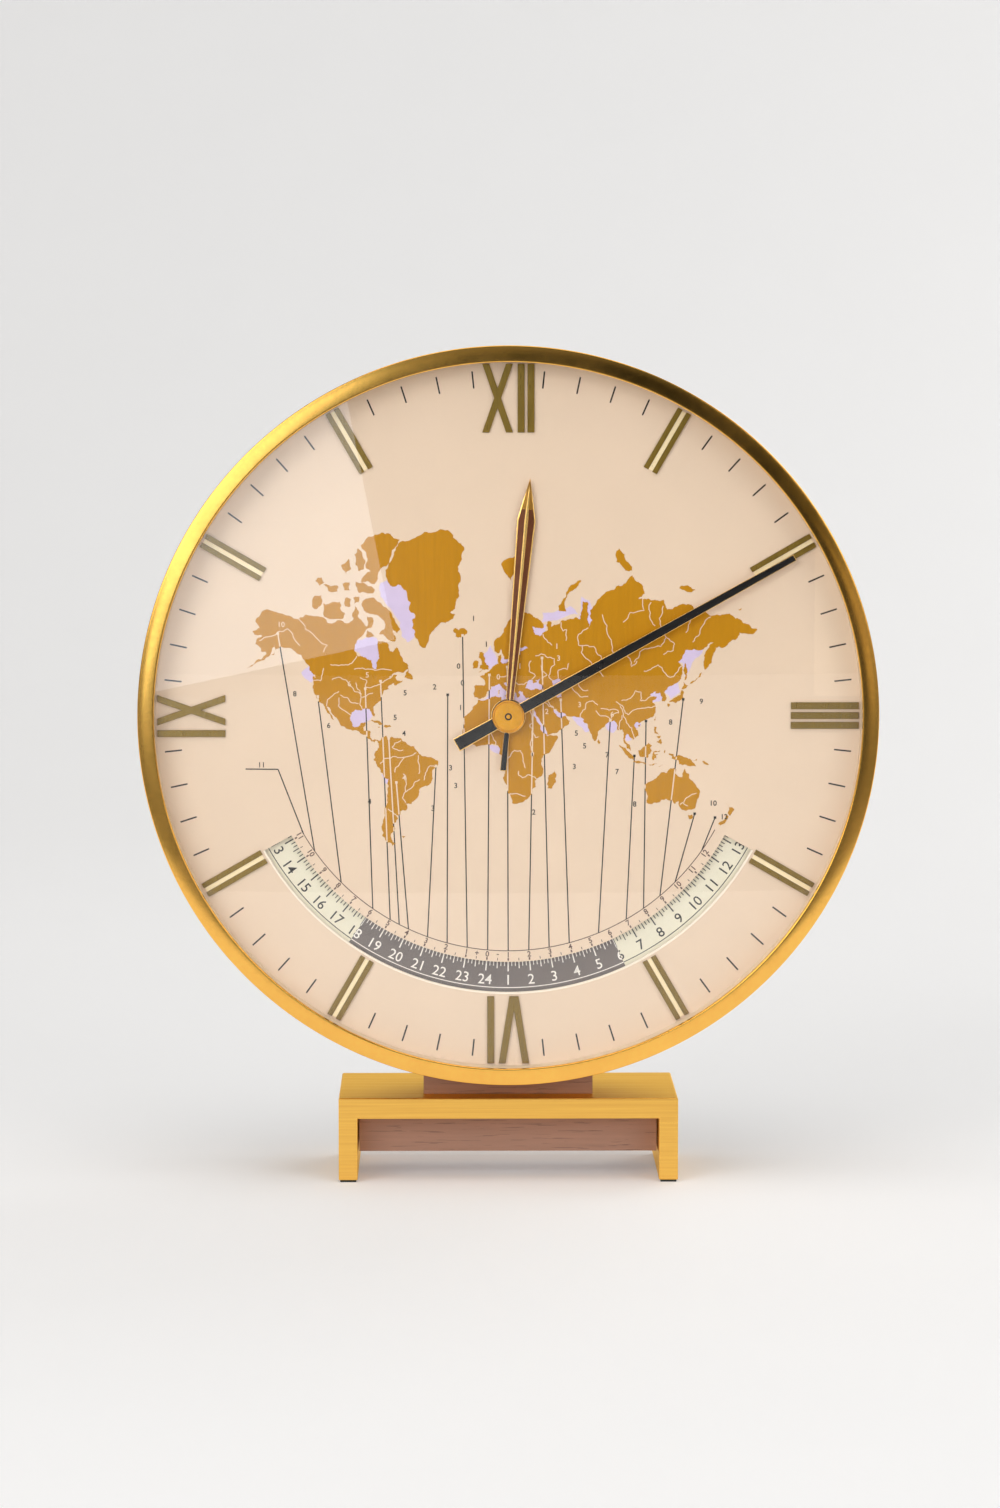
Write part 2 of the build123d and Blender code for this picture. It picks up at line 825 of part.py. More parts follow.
# Pieces drawn about the clock's axis and raised to its height
raised_pieces = [
    case_drum, bezel_ring, glass, sight_ring, back_cover, cover_screws, battery_door,
    dial_plate, baton_markers, numeral_twelve, numeral_three, numeral_six, numeral_nine,
    hour_hand, minute_hand, hand_cap, world_ring, ring_wheel,
    dial_feet, mounting_plate, movement_posts, movement_base, movement_lid,
    minute_arbor, cannon_pinion, setting_knob, minute_wheel, hour_wheel, hour_pipe,
    idler_wheel, idler_pinion, battery_tray, battery_cell, battery_contacts,
]

# Pieces drawn standing on the floor
floor_pieces = [stand_bridge, under_rail, saddle_block, clamp_nut, stand_screw, foot_pads]


def write_piece(make, lift):
    """Write one node, a single solid or a group of them."""
    made = make()
    pieces = made if isinstance(made, list) else [made]
    raised = [Pos(0, 0, lift) * solid for piece in pieces for solid in piece.solids()]
    shape = raised[0] if len(raised) == 1 else Compound(children=raised)
    export_step(shape, "parts/" + make.__name__ + ".step")


os.makedirs("parts", exist_ok=True)
for piece in raised_pieces:
    write_piece(piece, axis_height)
for piece in floor_pieces:
    write_piece(piece, 0)
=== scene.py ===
"""World time clock: its finished pieces, prints and materials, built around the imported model."""

import bmesh
import bpy
import numpy as np
from bpy.props import FloatProperty, FloatVectorProperty, IntProperty, PointerProperty
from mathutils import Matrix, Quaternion, Vector


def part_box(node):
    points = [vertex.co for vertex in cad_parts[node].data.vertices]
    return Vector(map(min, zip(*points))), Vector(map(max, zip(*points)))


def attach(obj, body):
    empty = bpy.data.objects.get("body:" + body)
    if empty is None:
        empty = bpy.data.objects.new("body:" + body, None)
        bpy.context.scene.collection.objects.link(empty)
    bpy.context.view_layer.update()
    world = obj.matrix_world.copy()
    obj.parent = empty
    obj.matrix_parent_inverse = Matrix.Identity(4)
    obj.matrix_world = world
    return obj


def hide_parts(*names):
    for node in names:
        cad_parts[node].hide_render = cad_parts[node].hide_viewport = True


bl_info = {
    "name": "World time clock",
    "version": (1, 0, 0),
    "blender": (4, 5, 0),
    "location": "3D View > Sidebar > Clock",
    "description": "Builds the finished pieces of a world time clock around its packed model",
    "category": "Object",
}

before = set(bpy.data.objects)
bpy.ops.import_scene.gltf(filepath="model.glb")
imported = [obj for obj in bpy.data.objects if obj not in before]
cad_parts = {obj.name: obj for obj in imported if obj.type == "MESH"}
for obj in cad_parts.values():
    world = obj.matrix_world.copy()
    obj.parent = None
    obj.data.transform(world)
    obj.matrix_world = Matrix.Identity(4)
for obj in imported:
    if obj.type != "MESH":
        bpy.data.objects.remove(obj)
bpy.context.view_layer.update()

MM = 0.001


def axis_height():
    """Height of the clock's axis above the floor."""
    low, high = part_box("bezel_ring")
    return (low.z + high.z) / 2


def front_of(node):
    """Depth of a node's front face, in millimetres."""
    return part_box(node)[0].y / MM


def back_of(node):
    """Depth of a node's back face, in millimetres."""
    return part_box(node)[1].y / MM


def reach_of(node):
    """Half the width of a node, in millimetres."""
    low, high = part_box(node)
    return (high.x - low.x) / 2 / MM


AXIS = axis_height()
DIAL_FACE = front_of("dial_plate")
RING_FACE = front_of("world_ring")
RIM_RADIUS = reach_of("bezel_ring")
SEAT_RADIUS = reach_of("sight_ring")
# The bezel's opening, through which the dial is seen
SIGHT_RADIUS = RIM_RADIUS - 5.8

# Degrees round the axis for one hour, on the offset scale and on the ring
HOUR_ANGLE = 5.0
# Where the scale's middle and the ring's first hour 24 stand, from six o'clock towards three
MIDDLE_ANGLE = -5.0
RUN_ANGLE = 24 * HOUR_ANGLE
RING_HOURS = 72


def linear(red, green, blue):
    """A display colour from 0 to 255 as the linear values that shaders take."""
    share = np.array([red, green, blue]) / 255
    return tuple(np.where(share <= 0.04045, share / 12.92, ((share + 0.055) / 1.055) ** 2.4))


def length(label, description, default):
    """A length property whose default is given in millimetres."""
    return FloatProperty(
        name=label, description=description, default=default * MM, precision=5, unit="LENGTH"
    )


def colour(label, description, *display):
    """A colour property whose default is given as a display colour."""
    return FloatVectorProperty(
        name=label,
        description=description,
        default=linear(*display),
        min=0.0,
        max=1.0,
        size=3,
        subtype="COLOR",
    )


class ClockSizes(bpy.types.PropertyGroup):
    """Sizes of the prints and of the finished pieces."""

    window_inner: length("Window inner radius", "Inner edge of the hour window", 87.4)
    window_outer: length("Window outer radius", "Outer edge of the hour window", 98.2)
    window_half_angle: FloatProperty(
        name="Window half angle",
        description="Half the angle that the hour window spans",
        default=np.radians(61.0),
        subtype="ANGLE",
    )
    ring_figure_radius: length("Ring figure radius", "Middle of the ring's figures", 94.0)
    ring_figure_height: length("Ring figure height", "Height of the ring's figures", 3.6)
    ring_line_radius: length("Ring line radius", "The ring's outer line", 96.8)
    scale_radius: length("Offset scale radius", "Arc line of the fixed offset scale", 83.4)
    scale_figure_height: length("Offset figure height", "Height of the offset figures", 2.0)
    place_figure_height: length("Place number height", "Height of the small numbers", 1.9)
    tick_inner: length("Minute tick inner radius", "Inner end of a minute tick", 115.5)
    tick_outer: length("Minute tick outer radius", "Outer end of a minute tick", 121.5)
    tick_width: length("Minute tick width", "Width of a minute tick", 0.55)
    map_degree: length("Map degree", "Width of one degree of longitude on the map", 0.490)
    map_equator: length("Map equator", "Height of the equator above the axis", -13.09)
    map_longitude: FloatProperty(
        name="Map middle longitude",
        description="Longitude in degrees that stands above the clock's axis",
        default=15.57,
    )
    print_thickness: length("Print thickness", "Step between two layers of print", 0.02)
    knob_flutes: IntProperty(
        name="Knob flutes", description="Flutes round the setting knob", default=48
    )


class ClockColours(bpy.types.PropertyGroup):
    """Colours of the finishes."""

    dial: colour("Dial", "Cream of the dial", 231, 206, 179)
    ink: colour("Ink", "Black print", 26, 20, 17)
    scale_ink: colour("Scale ink", "Brown print of the offset scale", 92, 58, 44)
    gilt: colour("Map gilt", "Gilt print of the map", 191, 132, 8)
    sea: colour("Sea tint", "Lilac of the enclosed seas", 214, 196, 226)
    night: colour("Night", "Night part of the ring", 112, 102, 97)
    day: colour("Day", "Day part of the ring", 233, 226, 202)
    brass: colour("Brass", "Polished brass", 255, 191, 92)
    marker: colour("Marker gilt", "Gilt of the applied figures", 140, 114, 52)
    wood: colour("Wood", "Brown wood of the rail and the block", 169, 127, 106)
    # The hands' black is painted dark reflection: polished gilt hands facing a dark room
    enamel: colour("Enamel", "Black of the hands", 10, 7, 6)
    floor: colour("Floor", "Pale floor and backdrop", 238, 237, 236)


def grid_faces(rows, columns, rows_close=False, columns_close=True):
    """Quads of a grid of points, row after row, with either way closed on itself."""
    row = np.arange(rows if rows_close else rows - 1)[:, None]
    column = np.arange(columns if columns_close else columns - 1)[None, :]
    next_row, next_column = (row + 1) % rows, (column + 1) % columns
    corners = [
        row * columns + column,
        row * columns + next_column,
        next_row * columns + next_column,
        next_row * columns + column,
    ]
    return np.stack(np.broadcast_arrays(*corners), -1).reshape(-1, 4)


def in_place(across, up, depth):
    """Points of the clock's face, in millimetres from its axis, as points of the scene."""
    return np.stack(np.broadcast_arrays(across * MM, depth * MM, up * MM + AXIS), -1)


def joined(parts):
    """Several surfaces as one, each a pair of points and a list of face tables."""
    points, tables, count = [], [], 0
    for part_points, part_tables in parts:
        points.append(part_points.reshape(-1, 3))
        tables += [table + count for table in part_tables]
        count += len(points[-1])
    return np.concatenate(points), tables


def rounded(corners, radius, steps=5):
    """A closed outline with every corner replaced by a parabola.

    From a point short of the corner to one past it: (1-t)^2 A + 2t(1-t) V + t^2 B.
    """
    corners = np.array(corners, float)
    ends = []
    for shift in (1, -1):
        side = np.roll(corners, shift, 0) - corners
        span = np.linalg.norm(side, axis=1, keepdims=True)
        ends.append(corners + side / span * np.minimum(radius, span * 0.45))
    t = np.linspace(0, 1, steps)[None, :, None]
    curve = (1 - t) ** 2 * ends[0][:, None] + 2 * t * (1 - t) * corners[:, None]
    return (curve + t**2 * ends[1][:, None]).reshape(-1, 2)


def full_turn(sides):
    """The angles of equal steps round the axis, in radians."""
    return np.linspace(0, 2 * np.pi, sides, endpoint=False)[None, :]


def lathe(profile, sides=256, cut=0.0):
    """A closed profile of (radius, depth) turned about the clock's axis.

    Point (i, j) is (r_ij cos a_j, y_i, r_ij sin a_j), with a_j in equal steps of a full turn
    and r_ij the profile's radius less what is cut away there.
    """
    radius, depth = np.array(profile, float).T[:, :, None]
    radius = radius - cut
    angle = full_turn(sides)
    points = in_place(radius * np.cos(angle), radius * np.sin(angle), depth)
    return points, [grid_faces(len(profile), sides, rows_close=True)]


def washer(outer, inner, front, back, edge=0.12):
    """A flat ring with rounded edges."""
    corners = [(inner, back), (inner, front), (outer, front), (outer, back)]
    return lathe(rounded(corners, edge, 4), 96)


def capped(points):
    """A closed section carried along a path, given as rows of points, with its ends closed."""
    rows, count = points.shape[:2]
    ends = np.arange(count) + np.array([[0], [(rows - 1) * count]])
    return points, [grid_faces(rows, count), ends]


def strip(path, width, front, back):
    """A flat print line: a rectangle carried along a path, square to it, with closed ends."""
    path = np.array(path, float)
    along = np.gradient(path, axis=0)
    along /= np.linalg.norm(along, axis=1, keepdims=True)
    side = np.stack([-along[:, 1], along[:, 0]], 1) * (width / 2)
    left, right = path + side, path - side
    edge = np.stack([left, right, right, left], 1)
    depth = np.array([front, front, back, back])[None, :]
    return capped(in_place(edge[..., 0], edge[..., 1], depth))


def blade(stations, half_widths, section, turn, back):
    """A hand's blade: the section, across in half widths and up in millimetres, carried along it.

    Each span between two stations is cut in twelve, so that its leaning faces stay true.
    """
    place = np.arange(len(stations))
    fine = np.linspace(0, place[-1], 12 * place[-1] + 1)
    along = np.interp(fine, place, stations)[:, None]
    across = np.interp(fine, place, half_widths)[:, None] * np.array(section)[None, :, 0]
    height = np.array(section)[None, :, 1]
    angle = np.radians(turn)
    x = along * np.sin(angle) + across * np.cos(angle)
    z = along * np.cos(angle) - across * np.sin(angle)
    return capped(in_place(x, z, back - height))


def spoke(angle, inner, outer):
    """A straight path along a radius, its angle in degrees from six o'clock towards three."""
    turn = np.radians(angle)
    direction = np.array([np.sin(turn), -np.cos(turn)])
    return np.outer([inner, outer], direction)


def spot(angle, radius):
    """A point of the face at an angle from six o'clock and a distance from the axis."""
    return spoke(angle, 0, radius)[1]


def arc(radius, low, high, steps=90):
    """A path round the axis, its angles in degrees from six o'clock towards three."""
    turn = np.radians(np.linspace(low, high, steps))
    return np.stack([radius * np.sin(turn), -radius * np.cos(turn)], 1)


def curve_arrays(curve):
    """The points of a flat filled curve of thickness one, and a table of faces for each number
    of their corners. The curve is removed.
    """
    holder = bpy.data.objects.new(curve.name, curve)
    mesh = bpy.data.meshes.new_from_object(holder)
    points = np.empty(len(mesh.vertices) * 3)
    mesh.vertices.foreach_get("co", points)
    loops = np.empty(len(mesh.loops), int)
    mesh.loops.foreach_get("vertex_index", loops)
    starts, totals = np.empty((2, len(mesh.polygons)), int)
    mesh.polygons.foreach_get("loop_start", starts)
    mesh.polygons.foreach_get("loop_total", totals)
    tables = [loops[starts[totals == n][:, None] + np.arange(n)] for n in np.unique(totals)]
    bpy.data.objects.remove(holder)
    bpy.data.meshes.remove(mesh)
    bpy.data.curves.remove(curve)
    return points.reshape(-1, 3), tables


def filled(outlines, front, back):
    """Flat closed shapes from outlines in millimetres; an outline inside another is a hole."""
    curve = bpy.data.curves.new("outlines", "CURVE")
    curve.dimensions = "2D"
    curve.fill_mode = "BOTH"
    curve.extrude = 0.5
    for outline in outlines:
        spline = curve.splines.new("POLY")
        spline.points.add(len(outline) - 1)
        flat = np.zeros((len(outline), 4))
        flat[:, :2] = outline
        flat[:, 3] = 1
        spline.points.foreach_set("co", flat.ravel())
        spline.use_cyclic_u = True
    points, tables = curve_arrays(curve)
    depth = (front + back) / 2 - points[:, 2] * (back - front)
    return in_place(points[:, 0], points[:, 1], depth), tables


def glyph(text, weight):
    """The flat figures of a short number, thickened by a weight, as arrays one unit high."""
    curve = bpy.data.curves.new("figure", "FONT")
    curve.body = text
    curve.align_x = "CENTER"
    curve.align_y = "CENTER"
    curve.extrude = 0.5
    curve.resolution_u = 3
    curve.offset = weight
    return curve_arrays(curve)


def figures(entries, height, front, back, weight=0.005):
    """Numbers on the face: each entry is a text, its place, and its turn in degrees."""
    scale = height / np.ptp(glyph("8", weight)[0][:, 1])
    made = {}
    parts = []
    for text, across, up, turn in entries:
        if text not in made:
            made[text] = glyph(text, weight)
        points, tables = made[text]
        middle = (points[:, :2].max(0) + points[:, :2].min(0)) / 2
        x, z = (points[:, :2] - middle).T * scale
        cosine, sine = np.cos(np.radians(turn)), np.sin(np.radians(turn))
        depth = (front + back) / 2 - points[:, 2] * (back - front)
        turned = (x * cosine - z * sine + across, x * sine + z * cosine + up)
        parts.append((in_place(*turned, depth), tables))
    return joined(parts)


def place_piece(name, mesh, material, body, replaces):
    """Puts a finished mesh into the scene as a piece of the clock."""
    piece = bpy.data.objects.new(name, mesh)
    bpy.context.scene.collection.objects.link(piece)
    mesh.materials.clear()
    mesh.materials.append(material)
    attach(piece, body)
    if replaces:
        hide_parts(*replaces)
    return piece


def make_piece(name, surface, material, body, replaces=(), weld=False, sharp=30.0):
    """An object from arrays: outward faces, smooth but for sharp edges, riding on its body."""
    points, tables = surface
    mesh = bpy.data.meshes.new(name)
    faces = [face for table in tables for face in table.tolist()]
    mesh.from_pydata(points.reshape(-1, 3).tolist(), [], faces)
    shape = bmesh.new()
    shape.from_mesh(mesh)
    if weld:
        bmesh.ops.remove_doubles(shape, verts=shape.verts, dist=1e-7)
    bmesh.ops.recalc_face_normals(shape, faces=shape.faces)
    shape.to_mesh(mesh)
    shape.free()
    mesh.shade_smooth()
    mesh.set_sharp_from_angle(angle=np.radians(sharp))
    return place_piece(name, mesh, material, body, replaces)


def joined_piece(name, parts, material, body="root"):
    """A piece joined from several surfaces, such as a print on the dial."""
    return make_piece(name, joined(parts), material, body)


def dressed_copy(name, node, material, body, width, segments=3):
    """A welded copy of a CAD node with its edges rounded off by a width in millimetres."""
    shape = bmesh.new()
    shape.from_mesh(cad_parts[node].data)
    bmesh.ops.remove_doubles(shape, verts=shape.verts, dist=1e-6)
    bmesh.ops.dissolve_limit(
        shape, angle_limit=np.radians(0.5), verts=shape.verts, edges=shape.edges
    )
    mesh = bpy.data.meshes.new(name)
    shape.to_mesh(mesh)
    shape.free()
    mesh.shade_smooth()
    mesh.set_sharp_from_angle(angle=np.radians(30.0))
    piece = place_piece(name, mesh, material, body, (node,))
    bevel = piece.modifiers.new("Rounded edges", "BEVEL")
    bevel.width = width * MM
    bevel.segments = segments
    bevel.limit_method = "ANGLE"
    bevel.angle_limit = np.radians(35.0)
    bevel.harden_normals = True
    return piece


def paint_node(node, material):
    """Gives a CAD node, whose shape stays, its finish."""
    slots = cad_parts[node].data.materials
    slots.clear()
    slots.append(material)


def add_node(tree, kind, **settings):
    """A shader node with its settings."""
    node = tree.nodes.new(kind)
    for setting, value in settings.items():
        setattr(node, setting, value)
    return node


def feed(tree, value, socket):
    """Links a value that is a socket, and sets one that is a number or a colour."""
    if isinstance(value, bpy.types.NodeSocket):
        tree.links.new(value, socket)
    else:
        socket.default_value = value


def new_group(name, inputs, outputs):
    """An empty shader group with named inputs and outputs, and its two end nodes."""
    tree = bpy.data.node_groups.new(name, "ShaderNodeTree")
    tree.interface.new_socket("Vector", in_out="INPUT", socket_type="NodeSocketVector")
    for label, default in inputs:
        socket = tree.interface.new_socket(label, in_out="INPUT", socket_type="NodeSocketFloat")
        socket.default_value = default
    for label in outputs:
        tree.interface.new_socket(label, in_out="OUTPUT", socket_type="NodeSocketFloat")
    return tree, add_node(tree, "NodeGroupInput"), add_node(tree, "NodeGroupOutput")


def math_node(tree, operation, *operands):
    """A math node whose operands are sockets or numbers; returns its result."""
    node = add_node(tree, "ShaderNodeMath", operation=operation)
    for socket, value in zip(node.inputs, operands):
        feed(tree, value, socket)
    return node.outputs[0]


def noise(tree, vector, scale, detail, roughness=0.55):
    """A noise texture's value; its scale is a socket or a number."""
    node = add_node(tree, "ShaderNodeTexNoise")
    tree.links.new(vector, node.inputs["Vector"])
    feed(tree, scale, node.inputs["Scale"])
    node.inputs["Detail"].default_value = detail
    node.inputs["Roughness"].default_value = roughness
    return node.outputs["Fac"]


def stretched(tree, vector, scale):
    """Coordinates scaled along each axis."""
    node = add_node(tree, "ShaderNodeMapping")
    node.inputs["Scale"].default_value = scale
    tree.links.new(vector, node.inputs["Vector"])
    return node.outputs[0]


def variation_group(name):
    """Uneven tone and fine relief: broad and fine noise, added in fixed shares."""
    tree, start, end = new_group(name, (("Scale", 50.0), ("Fineness", 8.0)), ("Tone", "Relief"))
    vector, scale, fineness = start.outputs[:3]
    broad = noise(tree, vector, scale, 3.0)
    fine = noise(tree, vector, math_node(tree, "MULTIPLY", scale, fineness), 4.0, 0.6)
    tone = math_node(tree, "MULTIPLY", broad, 0.6)
    tone = math_node(tree, "ADD", tone, math_node(tree, "MULTIPLY", fine, 0.4))
    wider = math_node(tree, "MULTIPLY", math_node(tree, "SUBTRACT", tone, 0.5), 2.6)
    tone = add_node(tree, "ShaderNodeClamp")
    tree.links.new(math_node(tree, "ADD", wider, 0.5), tone.inputs[0])
    tree.links.new(tone.outputs[0], end.inputs["Tone"])
    tree.links.new(fine, end.inputs["Relief"])
    return tree


def night_group(name):
    """One inside the night half of each 24 hour run of the ring, nought outside it.

    The angle from six o'clock is folded into one run about the hour 24, and a full turn is
    added first to keep it above nought.
    """
    tree, start, end = new_group(name, (), ("Night",))
    split = add_node(tree, "ShaderNodeSeparateXYZ")
    tree.links.new(start.outputs[0], split.inputs[0])
    down = math_node(tree, "SUBTRACT", AXIS, split.outputs["Z"])
    angle = math_node(tree, "ARCTAN2", split.outputs["X"], down)
    half_run = RUN_ANGLE / 2
    shifted = math_node(tree, "ADD", angle, float(np.radians(half_run - MIDDLE_ANGLE + 360.0)))
    folded = math_node(tree, "FLOORED_MODULO", shifted, float(np.radians(RUN_ANGLE)))
    away = math_node(tree, "SUBTRACT", folded, float(np.radians(half_run)))
    away = math_node(tree, "ABSOLUTE", away)
    night = math_node(tree, "LESS_THAN", away, float(np.radians(6 * HOUR_ANGLE)))
    tree.links.new(night, end.inputs["Night"])
    return tree


def grain_group(name):
    """Wood grain along X: noise stretched into bands, and short dark pores that cross them."""
    tree, start, end = new_group(name, (), ("Bands", "Pores"))
    bands = stretched(tree, start.outputs[0], (6.0, 120.0, 120.0))
    bands = noise(tree, bands, 4.0, 5.0, 0.65)
    pores = stretched(tree, start.outputs[0], (60.0, 1500.0, 1500.0))
    pores = noise(tree, pores, 1.0, 2.0)
    pores = math_node(tree, "GREATER_THAN", pores, 0.62)
    tree.links.new(bands, end.inputs["Bands"])
    tree.links.new(pores, end.inputs["Pores"])
    return tree


GROUPS = {
    "Surface variation": variation_group,
    "Night part of the ring": night_group,
    "Wood grain": grain_group,
}


def add_group(tree, name, vector):
    """A shared group, built when it is first asked for, fed with the object's coordinates."""
    node = add_node(tree, "ShaderNodeGroup")
    node.node_tree = bpy.data.node_groups.get(name) or GROUPS[name](name)
    tree.links.new(vector, node.inputs["Vector"])
    return node


def two_tones(tree, share, dark, light):
    """A colour between two by a share; either may be a socket."""
    mix = add_node(tree, "ShaderNodeMix", data_type="RGBA")
    tree.links.new(share, mix.inputs[0])
    for socket, value in ((mix.inputs[6], dark), (mix.inputs[7], light)):
        feed(tree, (*value, 1.0) if isinstance(value, tuple) else value, socket)
    return mix.outputs[2]


def between(tree, share, low, high):
    """A value that follows a share from low to high."""
    node = add_node(tree, "ShaderNodeMapRange")
    tree.links.new(share, node.inputs["Value"])
    node.inputs["To Min"].default_value = low
    node.inputs["To Max"].default_value = high
    return node.outputs[0]


def new_material(name):
    """A material with its tree, its shader and the object's own coordinates."""
    material = bpy.data.materials.new(name)
    material.use_nodes = True
    tree = material.node_tree
    place = add_node(tree, "ShaderNodeTexCoord")
    return material, tree, tree.nodes["Principled BSDF"], place.outputs["Object"]


def relief(tree, shader, height, strength):
    """Relief on a shader's normal, a tenth of a millimetre deep at full strength."""
    bump = add_node(tree, "ShaderNodeBump")
    bump.inputs["Strength"].default_value = strength
    bump.inputs["Distance"].default_value = 0.1 * MM
    tree.links.new(height, bump.inputs["Height"])
    tree.links.new(bump.outputs[0], shader.inputs["Normal"])


def shade(tone, share):
    """A colour made darker or lighter by a share of itself."""
    return tuple(min(1.0, channel * share) for channel in tone)


def varied_material(
    name,
    tone,
    roughness,
    metallic=0.0,
    spread=0.12,
    scale=60.0,
    bump=0.1,
    fineness=8.0,
    stretch=(1.0, 1.0, 1.0),
    rough_spread=0.08,
    coat=0.0,
    sheen=0.0,
    edge=(1.0, 1.0, 1.0),
    specular=0.5,
):
    """A material with uneven tone, roughness and relief; stretched noise gives brushed lines."""
    material, tree, shader, place = new_material(name)
    varied = add_group(tree, "Surface variation", stretched(tree, place, stretch))
    varied.inputs["Scale"].default_value = scale
    varied.inputs["Fineness"].default_value = fineness
    share = varied.outputs["Tone"]
    tones = two_tones(tree, share, shade(tone, 1 - spread), shade(tone, 1 + spread))
    tree.links.new(tones, shader.inputs["Base Color"])
    rough = between(tree, share, roughness + rough_spread / 2, roughness - rough_spread / 2)
    tree.links.new(rough, shader.inputs["Roughness"])
    shader.inputs["Metallic"].default_value = metallic
    shader.inputs["Specular Tint"].default_value = (*edge, 1.0)
    shader.inputs["Specular IOR Level"].default_value = specular
    shader.inputs["Sheen Weight"].default_value = sheen
    shader.inputs["Coat Weight"].default_value = coat
    shader.inputs["Coat Roughness"].default_value = 0.08
    relief(tree, shader, varied.outputs["Relief"], bump)
    return material


# What brass reflects at a glancing angle
BRASS_EDGE = (1.0, 0.85, 0.4)

# Tone (one of the clock's colours or a display colour), roughness, metallic, spread of the
# tone, scale of its unevenness, relief, and whatever else departs from the common finish
FINISHES = {
    "Polished brass": ("brass", 0.15, 1.0, 0.08, 35, 0.04, {"fineness": 14, "edge": BRASS_EDGE}),
    "Brushed brass": (
        "brass", 0.34, 1.0, 0.16, 1, 0.35,
        {"fineness": 3, "stretch": (14, 1300, 1300), "rough_spread": 0.16, "edge": BRASS_EDGE},
    ),
    "Turned brass": ((230, 164, 44), 0.38, 1.0, 0.14, 120, 0.06, {}),
    "Cut brass": ((214, 176, 98), 0.28, 1.0, 0.12, 300, 0.1, {}),
    "Brushed plate": ((206, 178, 116), 0.36, 1.0, 0.1, 1, 0.2, {"stretch": (20, 900, 900)}),
    "Turned steel": ((186, 186, 188), 0.32, 1.0, 0.1, 1, 0.15, {"stretch": (900, 900, 60)}),
    "Arbor steel": ((160, 160, 164), 0.26, 1.0, 0.1, 300, 0.08, {}),
    "Nickel plate": ((198, 197, 190), 0.22, 1.0, 0.08, 200, 0.05, {}),
    "Satin gilt": (
        "marker", 0.3, 1.0, 0.14, 1, 0.25, {"fineness": 3, "stretch": (1600, 60, 60)}
    ),
    # A pale cream that stands in for light reflected between the bars of a baton: painted
    # reflection
    "Pale gilt": ((255, 232, 186), 0.3, 0.1, 0.03, 90, 0.03, {}),
    "Gilt edge": ((240, 196, 116), 0.24, 1.0, 0.08, 120, 0.03, {"rough_spread": 0.06}),
    "Gilt print": (
        "gilt", 0.5, 0.05, 0.07, 1, 0.05,
        {"fineness": 3, "stretch": (900, 60, 50), "specular": 0.15},
    ),
    "Bronze lacquer": ((150, 116, 66), 0.42, 0.7, 0.04, 160, 0.03, {"rough_spread": 0.03}),
    # Painted reflection of the polished gilt hour hand: dark brown facets facing a dark room, and
    # a lighter olive tip
    "Dark bronze enamel": ((104, 54, 20), 0.32, 0.5, 0.25, 90, 0.03, {}),
    "Olive bronze": ((150, 106, 32), 0.34, 0.6, 0.2, 90, 0.03, {}),
    # The hands' black, a painted dark reflection of polished gilt facing a dark room; the cap's
    # groove shares it
    "Black enamel": ("enamel", 0.3, 0.0, 0.4, 90, 0.03, {"specular": 0.3}),
    "Black ink": ("ink", 0.5, 0.0, 0.25, 300, 0.05, {"specular": 0.25}),
    "Scale ink": ("scale_ink", 0.5, 0.0, 0.2, 300, 0.1, {}),
    "Cream ink": ("dial", 0.5, 0.0, 0.04, 200, 0.05, {}),
    "Cream dial": ("dial", 0.48, 0.0, 0.025, 30, 0.04, {"fineness": 60, "rough_spread": 0.05}),
    "Cream rim": ((226, 204, 176), 0.5, 0.0, 0.04, 60, 0.05, {}),
    # A paler cream than the dial: a painted highlight on the lip of the window
    "Window lip": ((250, 236, 216), 0.35, 0.0, 0.03, 60, 0.03, {}),
    "Sea tint": ("sea", 0.5, 0.0, 0.05, 60, 0.03, {}),
    "Felt": ((40, 46, 42), 0.95, 0.0, 0.3, 900, 0.9, {"fineness": 4, "sheen": 0.6}),
    "Cover plastic": ((52, 47, 42), 0.55, 0.0, 0.1, 260, 0.5, {"fineness": 6}),
    "Knob plastic": ((40, 36, 33), 0.36, 0.0, 0.1, 150, 0.1, {}),
    "Acetal": ((236, 231, 216), 0.42, 0.0, 0.04, 120, 0.1, {}),
    "Housing plastic": ((226, 222, 208), 0.48, 0.0, 0.05, 200, 0.3, {}),
    "Tray plastic": ((44, 44, 44), 0.5, 0.0, 0.12, 240, 0.4, {}),
    "Cell jacket": (
        (74, 82, 94), 0.3, 0.4, 0.12, 1, 0.05, {"stretch": (900, 30, 30), "coat": 0.5}
    ),
    "Pale sweep": ("floor", 0.7, 0.0, 0.01, 2, 0.02, {}),
}


def finish(name):
    """The finish of that name in the table, made when it is first asked for."""
    if name in bpy.data.materials:
        return bpy.data.materials[name]
    tone, *look, others = FINISHES[name]
    if isinstance(tone, str):
        tone = getattr(bpy.context.scene.clock_colours, tone)
    else:
        tone = linear(*tone)
    return varied_material(name, tone, *look, **others)


def glass_material():
    """Clear glass that lets the lamps' light through to what is behind it."""
    material, tree, shader, place = new_material("Clear glass")
    shader.inputs["Transmission Weight"].default_value = 1.0
    shader.inputs["IOR"].default_value = 1.45
    shader.inputs["Base Color"].default_value = (1.0, 1.0, 1.0, 1.0)
    varied = add_group(tree, "Surface variation", place)
    varied.inputs["Scale"].default_value = 18.0
    rough = between(tree, varied.outputs["Tone"], 0.0, 0.012)
    tree.links.new(rough, shader.inputs["Roughness"])
    light_path = add_node(tree, "ShaderNodeLightPath")
    clear = add_node(tree, "ShaderNodeBsdfTransparent")
    mix = add_node(tree, "ShaderNodeMixShader")
    tree.links.new(light_path.outputs["Is Shadow Ray"], mix.inputs[0])
    tree.links.new(shader.outputs[0], mix.inputs[1])
    tree.links.new(clear.outputs[0], mix.inputs[2])
    tree.links.new(mix.outputs[0], tree.nodes["Material Output"].inputs["Surface"])
    return material


